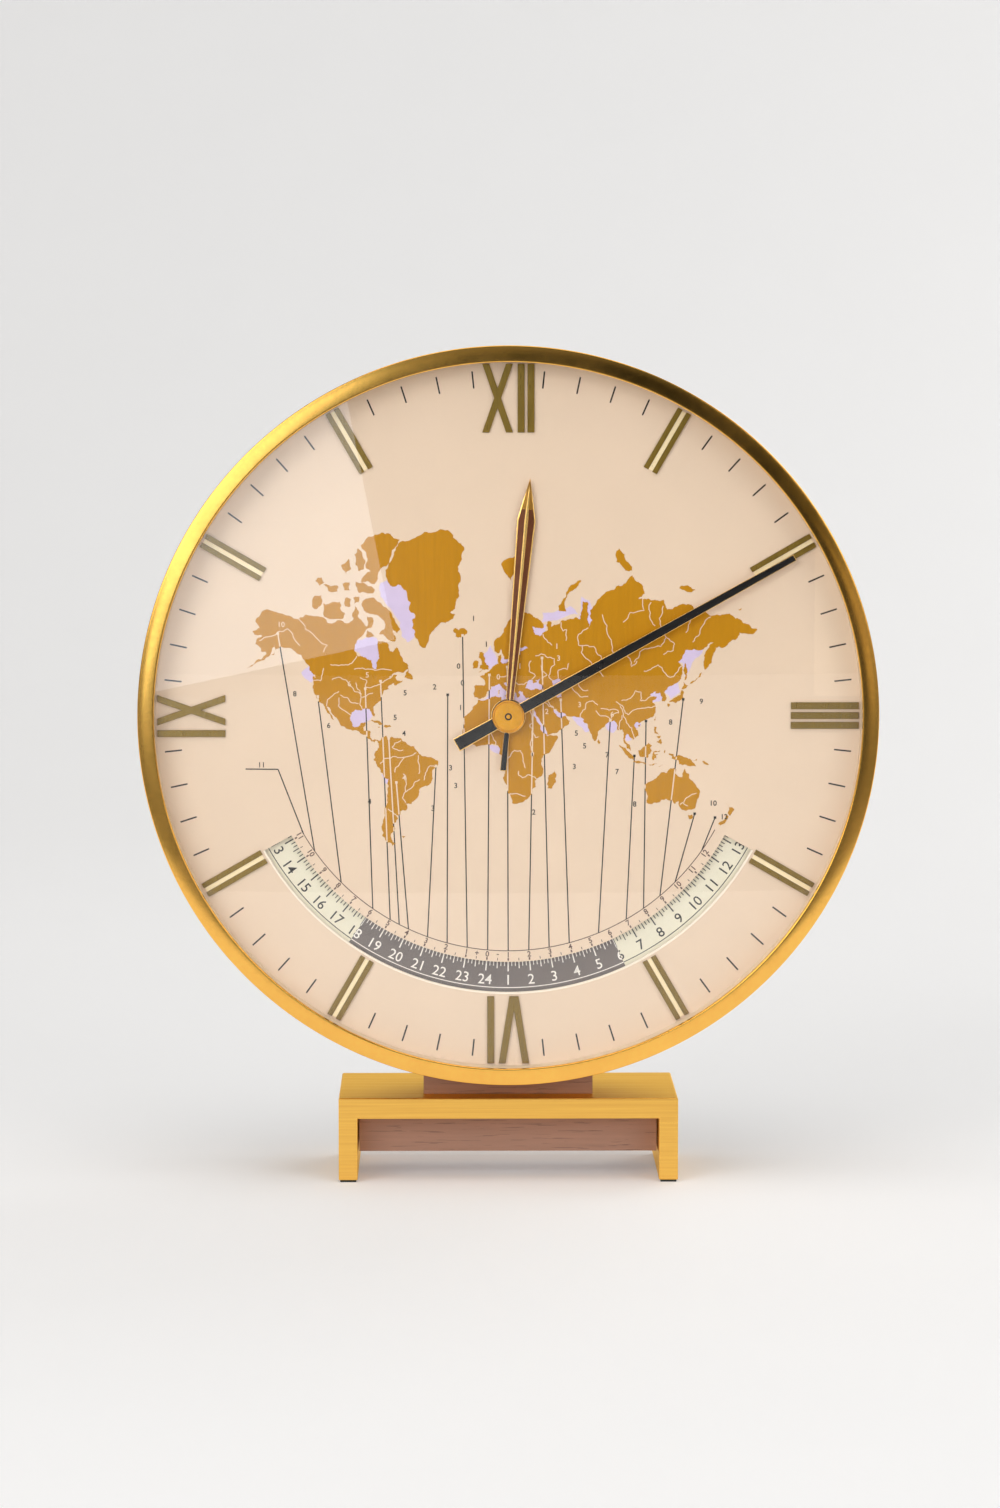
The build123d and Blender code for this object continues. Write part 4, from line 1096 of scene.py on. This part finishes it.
# Hours from the middle of the offset scale, and where each line starts on the map
ZONES = """
-10 -149.7,64.8; -8 -121.2,37.6; -6 -87.1,42; -5 -76.1,45.8; -4.5 -70.3,10.4; -4 -64.9,-20.9; -3
-36.4,-9.5; -2 -27.9,38.5; -1 -17.2,64.2; 0 2,48.8; 1 14.9,52.4; 2 33.4,30.2; 3 39.8,56.2; 4
53.3,35.6; 5.5 88.9,22.5; 7 106.3,-2.4; 8 114.6,22.2; 9 141.3,35.8; 10 149.8,-40.4; 12 164.5,-42.5
"""

# Small numbers beside the places: hours, then across and up from the axis in millimetres
PLACE_NUMBERS = """
10,-79.6,32.2 1,-12.2,34.3 1,-7.7,25.2 1,17.1,24.5 3,17.7,20.3 0,-17.5,17.5 5,-49.6,14.4
6,-55.9,11.3 0,-3.5,13.7 1,4.1,17.5 0,-16.1,11.6 1,-15.7,7.4 1,-3.5,8.1 1,-16.8,2.9 2,-25.9,10.2
8,-75.1,7.8 5,-36.3,8.1 6,-63.2,-3.4 5,-39.8,-0.6 4,-36.7,-6.2 11,-86.9,-17.3 3,-20.3,-18.4
3,-18.5,-24.7 4,-36.7,-21.9 4,-48.9,-30.3 3,-26.6,-32.7 2,9.0,-34.1 3,23.3,-18.0 2,13.6,1.5
3,25.1,3.9 6,36.6,0.5 5,24.0,-6.2 5,26.9,-10.7 7,34.9,-13.9 7,38.4,-19.8 8,57.2,-2.3 9,68.0,5.0
8,44.6,-31.3 10,72.5,-31.0 12,76.4,-35.8
"""


def on_map(text, sizes):
    """The longitude,latitude pairs of a text, in degrees, as points of the face.

    Across grows with longitude, and up with ln tan(45 + half the latitude).
    """
    degrees = np.array([pair.split(",") for pair in text.split()], float)
    degree = sizes.map_degree / MM
    across = degree * (degrees[:, 0] - sizes.map_longitude)
    stretch = np.log(np.tan(np.radians(45 + degrees[:, 1] / 2)))
    return np.stack([across, sizes.map_equator / MM + np.degrees(degree) * stretch], 1)


def ragged(path, rounds, share, chance, closed=True):
    """A path made uneven: each round puts a point beside the middle of every step.

    The point stands off by a random share of the step's length, square to it.
    """
    for _round in range(rounds):
        ahead = np.roll(path, -1, 0) if closed else path[1:]
        here = path if closed else path[:-1]
        step = ahead - here
        off = chance.uniform(-share, share, (len(step), 1))
        middle = (here + ahead) / 2 + np.stack([-step[:, 1], step[:, 0]], 1) * off
        paired = np.stack([here, middle], 1).reshape(-1, 2)
        path = paired if closed else np.concatenate([paired, path[-1:]])
    return path


def within(points, outlines):
    """Whether each point lies in the land: the edges that a line to its right crosses are odd."""
    crossings = np.zeros(len(points), int)
    for start in outlines:
        end = np.roll(start, -1, 0)
        spans = (start[None, :, 1] > points[:, None, 1]) != (end[None, :, 1] > points[:, None, 1])
        rise = end[:, 1] - start[:, 1]
        rise = np.where(rise == 0, 1e-9, rise)
        share = (points[:, None, 1] - start[None, :, 1]) / rise
        cross = start[None, :, 0] + share * (end[:, 0] - start[:, 0])
        crossings += (spans & (points[:, None, 0] < cross)).sum(1)
    return crossings % 2 == 1


def runs_inside(path, outlines, pieces=240):
    """The stretches of a straight path that lie over the land."""
    share = np.linspace(0, 1, pieces)[:, None]
    points = path[0] * (1 - share) + path[-1] * share
    inside = within(points, outlines).astype(int)
    change = np.flatnonzero(np.diff(np.concatenate([[0], inside, [0]])))
    return [
        points[[first, last - 1]]
        for first, last in change.reshape(-1, 2)
        if last - first > 2
    ]


class CLOCK_OT_map(bpy.types.Operator):
    """Print the map, its seas and rivers, and the lines from it to the offset scale."""

    bl_idname = "clock.map"
    bl_label = "World map"

    def execute(self, context):
        sizes = context.scene.clock_sizes
        layer = sizes.print_thickness / MM
        # The prints' backs lie in the dial, and their fronts stand above it layer by layer
        sunk = DIAL_FACE + layer
        sea_front, land_front, cream_back = (DIAL_FACE - count * layer for count in (0.5, 2, 1))
        dark_line, cream_line = DIAL_FACE - 1.6 * layer, DIAL_FACE - 3.4 * layer
        chance = np.random.RandomState(7)
        outlines = [shape.split(":")[1] for shape in LAND.split(";")]
        land = [ragged(on_map(text, sizes), 3, 0.19, chance) for text in outlines]
        seas = [ragged(on_map(text, sizes), 2, 0.12, chance) for text in SEAS.split("\n")[1:-1]]
        seas = [filled([sea], sea_front, sunk) for sea in seas]
        joined_piece("sea_tint", seas, finish("Sea tint"))
        gilt = finish("Gilt print")
        make_piece("map_land", filled(land, land_front, sunk), gilt, "root")
        rivers = [
            ragged(on_map(text, sizes), 2, 0.16, chance, closed=False)
            for text in RIVERS.split("\n")[1:-1]
        ]
        cream, black = finish("Cream ink"), finish("Black ink")
        rivers = [strip(path, 0.3, DIAL_FACE - 3 * layer, cream_back) for path in rivers]
        joined_piece("map_rivers", rivers, cream)
        radius = sizes.scale_radius / MM
        line_width, cream_width, dot_size = 0.4, 0.44, 0.9
        dark, pale = [], []
        for zone in ZONES.split(";"):
            hours, place = zone.split()
            start = on_map(place, sizes)[0]
            path = np.stack([start, spot(HOUR_ANGLE * float(hours) + MIDDLE_ANGLE, radius)])
            dark.append(strip(path, line_width, dark_line, sunk))
            for run in runs_inside(path, land):
                pale.append(strip(run, cream_width, cream_line, cream_back))
            ends = np.array([start - [dot_size / 2, 0], start + [dot_size / 2, 0]])
            dot = strip(ends, dot_size, DIAL_FACE - 3.6 * layer, sunk)
            (pale if within(start[None], land)[0] else dark).append(dot)
        # The line of the zone that lies off the map: a short level one, then down to the scale
        corner = np.array([[-92.5, -18.8], [-81.1, -18.9]])
        last = np.stack([corner[1], spot(-11 * HOUR_ANGLE + MIDDLE_ANGLE, radius)])
        dark += [strip(path, line_width, dark_line, sunk) for path in (corner, last)]
        joined_piece("zone_lines", dark, black)
        joined_piece("zone_lines_cream", pale, cream)
        entries = [entry.split(",") for entry in PLACE_NUMBERS.split()]
        places = np.array([entry[1:] for entry in entries], float)
        on_gilt = within(places, land)
        height, front = sizes.place_figure_height / MM, DIAL_FACE - 3.8 * layer
        for name, side, ink in (
            ("place_numbers", False, black), ("place_numbers_cream", True, cream)
        ):
            chosen = [
                (entry[0], *place, 0.0)
                for entry, place, inside in zip(entries, places, on_gilt)
                if inside == side
            ]
            joined_piece(name, [figures(chosen, height, front, sunk, 0.01)], ink)
        return {"FINISHED"}


class CLOCK_OT_offset_scale(bpy.types.Operator):
    """Print the fixed scale of hours ahead and behind above the window."""

    bl_idname = "clock.offset_scale"
    bl_label = "Offset scale"

    def execute(self, context):
        sizes = context.scene.clock_sizes
        layer = sizes.print_thickness / MM
        front, back = DIAL_FACE - layer, DIAL_FACE + layer
        half = np.degrees(sizes.window_half_angle)
        ink = finish("Scale ink")
        parts = [strip(arc(sizes.scale_radius / MM, -half, half), 0.3, front, back)]
        mark_inner, mark_outer, figure_radius = 86.0, 86.9, 84.8
        for half_hour in range(-22, 25):
            mark = spoke(half_hour * HOUR_ANGLE / 2 + MIDDLE_ANGLE, mark_inner, mark_outer)
            parts.append(strip(mark, 0.25 if half_hour % 2 else 0.55, front, back))
        joined_piece("offset_scale_lines", parts, ink)
        texts = [(str(abs(hour)), hour) for hour in range(-11, 13)] + [("+", -0.5), ("-", 0.5)]
        entries = []
        for text, hour in texts:
            angle = HOUR_ANGLE * hour + MIDDLE_ANGLE
            entries.append((text, *spot(angle, figure_radius), angle))
        height = sizes.scale_figure_height / MM
        joined_piece("offset_scale_figures", [figures(entries, height, front, back, 0.02)], ink)
        return {"FINISHED"}


class CLOCK_OT_world_ring(bpy.types.Operator):
    """Paint the world time ring and print its three runs of 24 hours."""

    bl_idname = "clock.world_ring"
    bl_label = "World time ring"

    def execute(self, context):
        sizes, colours = context.scene.clock_sizes, context.scene.clock_colours
        layer = sizes.print_thickness / MM
        front, back = RING_FACE - layer, RING_FACE + layer
        paint = ring_material("Day and night paint", colours.night, colours.day, 0.45, 0.03)
        paint_node("world_ring", paint)
        white = linear(246, 240, 230)
        ink = ring_material("Day and night ink", white, colours.ink, 0.5, 0.04)
        inner = sizes.window_inner / MM
        parts = []
        # A tick every ten minutes; the length and width of those at the hour and half hour
        large_ticks, small_tick = {0: (3.6, 0.46), 3: (2.6, 0.34)}, (1.7, 0.32)
        for step in range(6 * RING_HOURS):
            long, wide = large_ticks.get(step % 6, small_tick)
            path = spoke(step * HOUR_ANGLE / 6 + MIDDLE_ANGLE, inner - 0.2, inner + long)
            parts.append(strip(path, wide, front, back))
        line = arc(sizes.ring_line_radius / MM, 0, 360, 720)
        parts.append(strip(line, 0.3, front, back))
        entries = []
        for place in range(RING_HOURS):
            angle = HOUR_ANGLE * place + MIDDLE_ANGLE
            centre = spot(angle, sizes.ring_figure_radius / MM)
            entries.append((str((place - 1) % 24 + 1), *centre, angle))
        parts.append(figures(entries, sizes.ring_figure_height / MM, front, back))
        joined_piece("ring_print", parts, ink, "world_ring")
        return {"FINISHED"}


class CLOCK_OT_hands(bpy.types.Operator):
    """Build the two faceted hands with their strips of painted dark reflection, and the cap."""

    bl_idname = "clock.hands"
    bl_label = "Hands and cap"

    def execute(self, context):
        gold, enamel = finish("Gilt edge"), finish("Black enamel")

        # The minute hand: a gilt body and a black strip of painted reflection, for polished gilt
        # facing a dark room, each from the tail to the tip
        back, turn = back_of("minute_hand"), 60.95
        widths = [2.45, 2.15, 2.05, 1.15]
        base = [(-1, 0), (-1, 0.36), (-0.94, 0.42), (0.94, 0.42), (1, 0.36), (1, 0)]
        painted_reflection_part = [(-0.88, 0.3), (-0.88, 0.45), (0, 0.6), (0.88, 0.45), (0.88, 0.3)]
        body = blade([-20.9, 0.0, 5.5, 115.0], widths, base, turn, back)
        body = joined([body, washer(4.0, 1.5, back - 0.6, back)])
        make_piece(
            "minute_hand_edge", body, gold, "minute_train", ("minute_hand",)
        )
        painted_reflection_part = blade([-20.6, 0.0, 5.5, 114.7], widths, painted_reflection_part, turn, back)
        make_piece("minute_hand_inlay", painted_reflection_part, enamel, "minute_train")

        # The hour hand: a ridged gilt body, two dark brown facets and an olive tip of painted
        # reflection, for polished gilt facing a dark room, and a black tail of the same
        back, turn = back_of("hour_hand"), 5.25
        widths = [1.15, 0.95, 1.35, 3.25, 0.03]
        ridge = [(-1, 0), (-1, 0.3), (-0.86, 0.4), (-0.2, 0.62), (0, 0.7)]
        ridge += [(0.2, 0.62), (0.86, 0.4), (1, 0.3), (1, 0)]
        body = blade([-19.4, -6.0, 5.5, 69.0, 83.9], widths, ridge, turn, back)
        body = joined([body, washer(6.1, 2.4, back - 0.6, back)])
        make_piece("hour_hand_edge", body, gold, "hour_train", ("hour_hand",))
        painted_reflection_strips, painted_reflection_tips = [], []
        for near, far in ((-0.87, -0.2), (0.87, 0.2)):
            facet = [(near, 0.3), (near, 0.45), (far, 0.66), (far, 0.3)]
            painted_reflection_strips.append(blade([5.0, 69.0, 73.0], [1.3, 3.2, 2.35], facet, turn, back))
            painted_reflection_tips.append(blade([73.05, 82.6], [2.34, 0.28], facet, turn, back))
        ridge = [(-0.86, 0.3), (-0.86, 0.5), (0, 0.7), (0.86, 0.5), (0.86, 0.3)]
        tail = [
            blade([-19.2, -6.0, -4.0], [1.15, 0.95, 0.95], ridge, turn, back),
            washer(5.9, 2.5, back - 0.66, back - 0.3, 0.05),
        ]
        for name, parts, material in (
            ("hour_hand_inlay", painted_reflection_strips, finish("Dark bronze enamel")),
            ("hour_hand_tip", painted_reflection_tips, finish("Olive bronze")),
            ("hour_hand_tail", tail, enamel),
        ):
            joined_piece(name, parts, material, "hour_train")

        # The cap: a rounded rim, a face with fine turned ripples, a black groove and a dot
        front, back = front_of("hand_cap"), back_of("hand_cap")
        groove = washer(1.24, 0.74, front + 0.28, front + 0.6, 0.03)
        make_piece("hand_cap_groove", groove, enamel, "minute_train")
        radius = np.arange(4.9, 1.4, -0.12)
        turned = np.stack([radius, front + 0.09 + 0.008 * np.sin(2 * np.pi * radius / 0.6)], 1)
        rim = [
            (0.0, back), (5.6, back), (5.7, back - 0.15), (5.7, front + 0.3),
            (5.55, front + 0.08), (5.4, front), (5.2, front + 0.1), (5.12, front + 0.3),
            (5.0, front + 0.3),
        ]
        dot = [
            (1.3, front + 0.12), (1.2, front + 0.4), (0.78, front + 0.4), (0.7, front + 0.06),
            (0.4, front), (0.0, front),
        ]
        cap, satin = lathe(np.concatenate([rim, turned, dot]), 128), finish("Turned brass")
        make_piece(
            "hand_cap_turned", cap, satin, "minute_train", ("hand_cap",), weld=True
        )
        return {"FINISHED"}


class CLOCK_OT_back(bpy.types.Operator):
    """Dress the back cover, the battery door, the screws and the setting knob."""

    bl_idname = "clock.back"
    bl_label = "Back of the case"

    def execute(self, context):
        cover, steel = finish("Cover plastic"), finish("Turned steel")
        dressed_copy("cover_moulded", "back_cover", cover, "root", 0.35, 2)
        dressed_copy("door_moulded", "battery_door", cover, "battery_door", 0.3, 2)
        dressed_copy("cover_screw_heads", "cover_screws", steel, "root", 0.4, 2)
        front, back = front_of("setting_knob"), back_of("setting_knob")
        # Each row: radius, depth, and how much of a flute's depth is cut there
        profile = np.array(
            [
                (0.0, front, 0), (2.6, front, 0), (2.6, back - 6.9, 0), (8.2, back - 6.9, 0),
                (8.7, back - 6.4, 0.4), (8.9, back - 5.6, 1), (8.9, back - 1.2, 1),
                (8.5, back - 0.4, 0.4), (7.8, back, 0), (6.6, back, 0), (6.2, back - 0.5, 0),
                (0.0, back - 0.6, 0),
            ]
        )
        sides = 480
        wave = 0.5 - 0.5 * np.cos(context.scene.clock_sizes.knob_flutes * full_turn(sides))
        fluted = lathe(profile[:, :2], sides, 0.45 * profile[:, 2:] * wave)
        knob = finish("Knob plastic")
        make_piece(
            "knob_fluted", fluted, knob, "minute_train", ("setting_knob",),
            weld=True,
        )
        return {"FINISHED"}


class CLOCK_OT_inside(bpy.types.Operator):
    """Finish the plates, the wheels, the movement's housing and the battery."""

    bl_idname = "clock.inside"
    bl_label = "Inside of the case"

    def execute(self, context):
        for name, nodes in {
            "Brushed plate": ("mounting_plate", "dial_feet", "movement_posts"),
            "Cut brass": ("minute_wheel", "hour_wheel", "hour_pipe", "idler_wheel"),
            "Arbor steel": ("minute_arbor", "cannon_pinion", "idler_pinion"),
            "Acetal": ("ring_wheel",),
            "Housing plastic": ("movement_base", "movement_lid"),
            "Tray plastic": ("battery_tray",),
            "Cell jacket": ("battery_cell",),
            "Nickel plate": ("battery_contacts",),
        }.items():
            for node in nodes:
                paint_node(node, finish(name))
        return {"FINISHED"}


def show_background(material, glow, shine):
    """Brightens a backdrop where the camera (glow) or metal and glass (shine) see it alone."""
    tree = material.node_tree
    path = add_node(tree, "ShaderNodeLightPath")
    bright = math_node(tree, "MULTIPLY", path.outputs["Is Camera Ray"], glow)
    for ray in ("Is Glossy Ray", "Is Transmission Ray"):
        seen = math_node(tree, "MULTIPLY", path.outputs[ray], shine)
        bright = math_node(tree, "MAXIMUM", bright, seen)
    shader = tree.nodes["Principled BSDF"]
    shader.inputs["Emission Color"].default_value = (1.0, 0.995, 0.99, 1.0)
    tree.links.new(bright, shader.inputs["Emission Strength"])


def studio_world(tone):
    """A soft room: grey all round, dim behind the camera, pale where the camera itself looks.

    The strength falls with the angle from two directions, one straight ahead of the clock and
    one a little to the right of and above the camera, where the dark of the room stands.
    """
    world = bpy.data.worlds.new("Studio")
    world.use_nodes = True
    tree = world.node_tree
    sky = tree.nodes["Background"]
    sky.inputs["Color"].default_value = (*tone, 1.0)
    way = add_node(tree, "ShaderNodeTexCoord").outputs["Generated"]
    shares = []
    for towards, *span in (
        ((0.0, -1.0, 0.0), 0.9, 0.6, 0.22, 0.36),
        ((0.13, -0.99, 0.055), 0.9945, 0.982, 0.08, 1.0),
    ):
        turn = add_node(tree, "ShaderNodeVectorMath", operation="DOT_PRODUCT")
        tree.links.new(way, turn.inputs[0])
        turn.inputs[1].default_value = towards
        fall = add_node(tree, "ShaderNodeMapRange")
        tree.links.new(turn.outputs["Value"], fall.inputs["Value"])
        for name, value in zip(("From Min", "From Max", "To Min", "To Max"), span):
            fall.inputs[name].default_value = value
        shares.append(fall.outputs[0])
    seen = add_node(tree, "ShaderNodeLightPath").outputs["Is Camera Ray"]
    strength = math_node(tree, "MULTIPLY", *shares)
    strength = math_node(tree, "MAXIMUM", strength, math_node(tree, "MULTIPLY", seen, 0.9))
    tree.links.new(strength, sky.inputs["Strength"])
    return world


def softbox(name, place, width, height, power, tint=(1.0, 1.0, 1.0), roll=0.0):
    """A rectangular lamp that faces the clock's middle, its power in watts.

    It is rolled by degrees about the line to that point.
    """
    lamp = bpy.data.lights.new(name, "AREA")
    lamp.shape = "RECTANGLE"
    lamp.size, lamp.size_y = width, height
    lamp.energy = power
    lamp.color = tint
    holder = bpy.data.objects.new(name, lamp)
    holder.location = place
    aim = (Vector((0.0, 0.0, AXIS)) - Vector(place)).to_track_quat("-Z", "Y")
    holder.rotation_euler = (aim @ Quaternion((0.0, 0.0, 1.0), np.radians(roll))).to_euler()
    bpy.context.scene.collection.objects.link(holder)


def backdrop(name, depth, height, material):
    """A wide pale surface whose section is a line of depths and heights in metres."""
    across = np.array([-2.6, 2.6])[None, :]
    points = np.stack(np.broadcast_arrays(across, depth[:, None], height[:, None]), -1)
    mesh = bpy.data.meshes.new(name)
    faces = grid_faces(len(depth), 2, columns_close=False)
    mesh.from_pydata(points.reshape(-1, 3).tolist(), [], faces.tolist())
    mesh.shade_smooth()
    mesh.materials.append(material)
    surface = bpy.data.objects.new(name, mesh)
    bpy.context.scene.collection.objects.link(surface)
    return surface


class CLOCK_OT_stage(bpy.types.Operator):
    """Set up the pale sweep, the studio lamps and the camera."""

    bl_idname = "clock.stage"
    bl_label = "Stage, lamps and camera"

    def execute(self, context):
        scene = context.scene
        pale = finish("Pale sweep")
        show_background(pale, glow=0.19, shine=0.26)
        # A floor that bends up into a wall, and in front of it a floor for the camera alone,
        # so that the glass and the bezel reflect the dim room there
        near, bend_start, wall = -0.62, 1.2, 2.2
        bend = np.radians(np.linspace(0, 90, 24))
        depth = np.concatenate([[near], bend_start + np.sin(bend), [wall]])
        height = np.concatenate([[0.0], 1.0 - np.cos(bend), [4.0]])
        backdrop("pale_sweep", depth, height, pale)
        apron = backdrop("pale_apron", np.array([-3.2, near]), np.zeros(2), pale)
        apron.visible_glossy = False
        apron.visible_diffuse = False
        scene.world = studio_world(linear(238, 237, 236))
        softbox("Left softbox", (-1.4, -2.2, 1.1), 1.6, 1.6, 24.0)
        softbox("Right softbox", (1.5, -2.1, 1.0), 1.4, 1.4, 14.0)
        softbox("Top softbox", (0.0, -0.5, 2.5), 2.0, 1.6, 18.0)
        softbox("Back softbox", (1.4, 1.6, 1.2), 1.2, 1.2, 10.0)
        softbox("Reflected card", (-0.5, -2.5, 0.37), 0.56, 0.68, 2.3, (0.8, 0.9, 1.0), 12.0)
        softbox("Small right card", (0.7, -2.5, 0.13), 0.3, 0.26, 0.13, (1.0, 0.86, 0.6))
        lens = bpy.data.cameras.new("Camera")
        lens.lens = 116.0
        lens.sensor_width = 36.0
        lens.sensor_fit = "AUTO"
        camera = bpy.data.objects.new("Camera", lens)
        camera.location = (-0.020, -1.729, 0.300)
        aim = Vector((-0.003, -0.033, 0.1523)) - Vector(camera.location)
        camera.rotation_euler = aim.to_track_quat("-Z", "Y").to_euler()
        scene.collection.objects.link(camera)
        scene.camera = camera
        scene.view_settings.view_transform = "Standard"
        return {"FINISHED"}


class CLOCK_PT_build(bpy.types.Panel):
    """Lists the steps that build the clock."""

    bl_idname = "CLOCK_PT_build"
    bl_label = "World time clock"
    bl_space_type = "VIEW_3D"
    bl_region_type = "UI"
    bl_category = "Clock"

    def draw(self, context):
        for operator in OPERATORS:
            self.layout.operator(operator.bl_idname)
        for group in (context.scene.clock_sizes, context.scene.clock_colours):
            for setting in group.bl_rna.properties.keys():
                if setting not in ("rna_type", "name"):
                    self.layout.prop(group, setting)


OPERATORS = (
    CLOCK_OT_stage,
    CLOCK_OT_stand,
    CLOCK_OT_case,
    CLOCK_OT_dial,
    CLOCK_OT_markers,
    CLOCK_OT_map,
    CLOCK_OT_offset_scale,
    CLOCK_OT_world_ring,
    CLOCK_OT_hands,
    CLOCK_OT_back,
    CLOCK_OT_inside,
)
CLASSES = (ClockSizes, ClockColours, *OPERATORS, CLOCK_PT_build)


def register():
    """Registers the classes and puts the settings on the scene."""
    for one in CLASSES:
        bpy.utils.register_class(one)
    bpy.types.Scene.clock_sizes = PointerProperty(type=ClockSizes)
    bpy.types.Scene.clock_colours = PointerProperty(type=ClockColours)


def unregister():
    """Takes the settings and the classes away again."""
    del bpy.types.Scene.clock_colours
    del bpy.types.Scene.clock_sizes
    for one in reversed(CLASSES):
        bpy.utils.unregister_class(one)


def main():
    """Builds everything in order."""
    register()
    for operator in OPERATORS:
        step = operator.bl_idname.split(".")[1]
        getattr(bpy.ops.clock, step)()


if __name__ == "__main__":
    main()
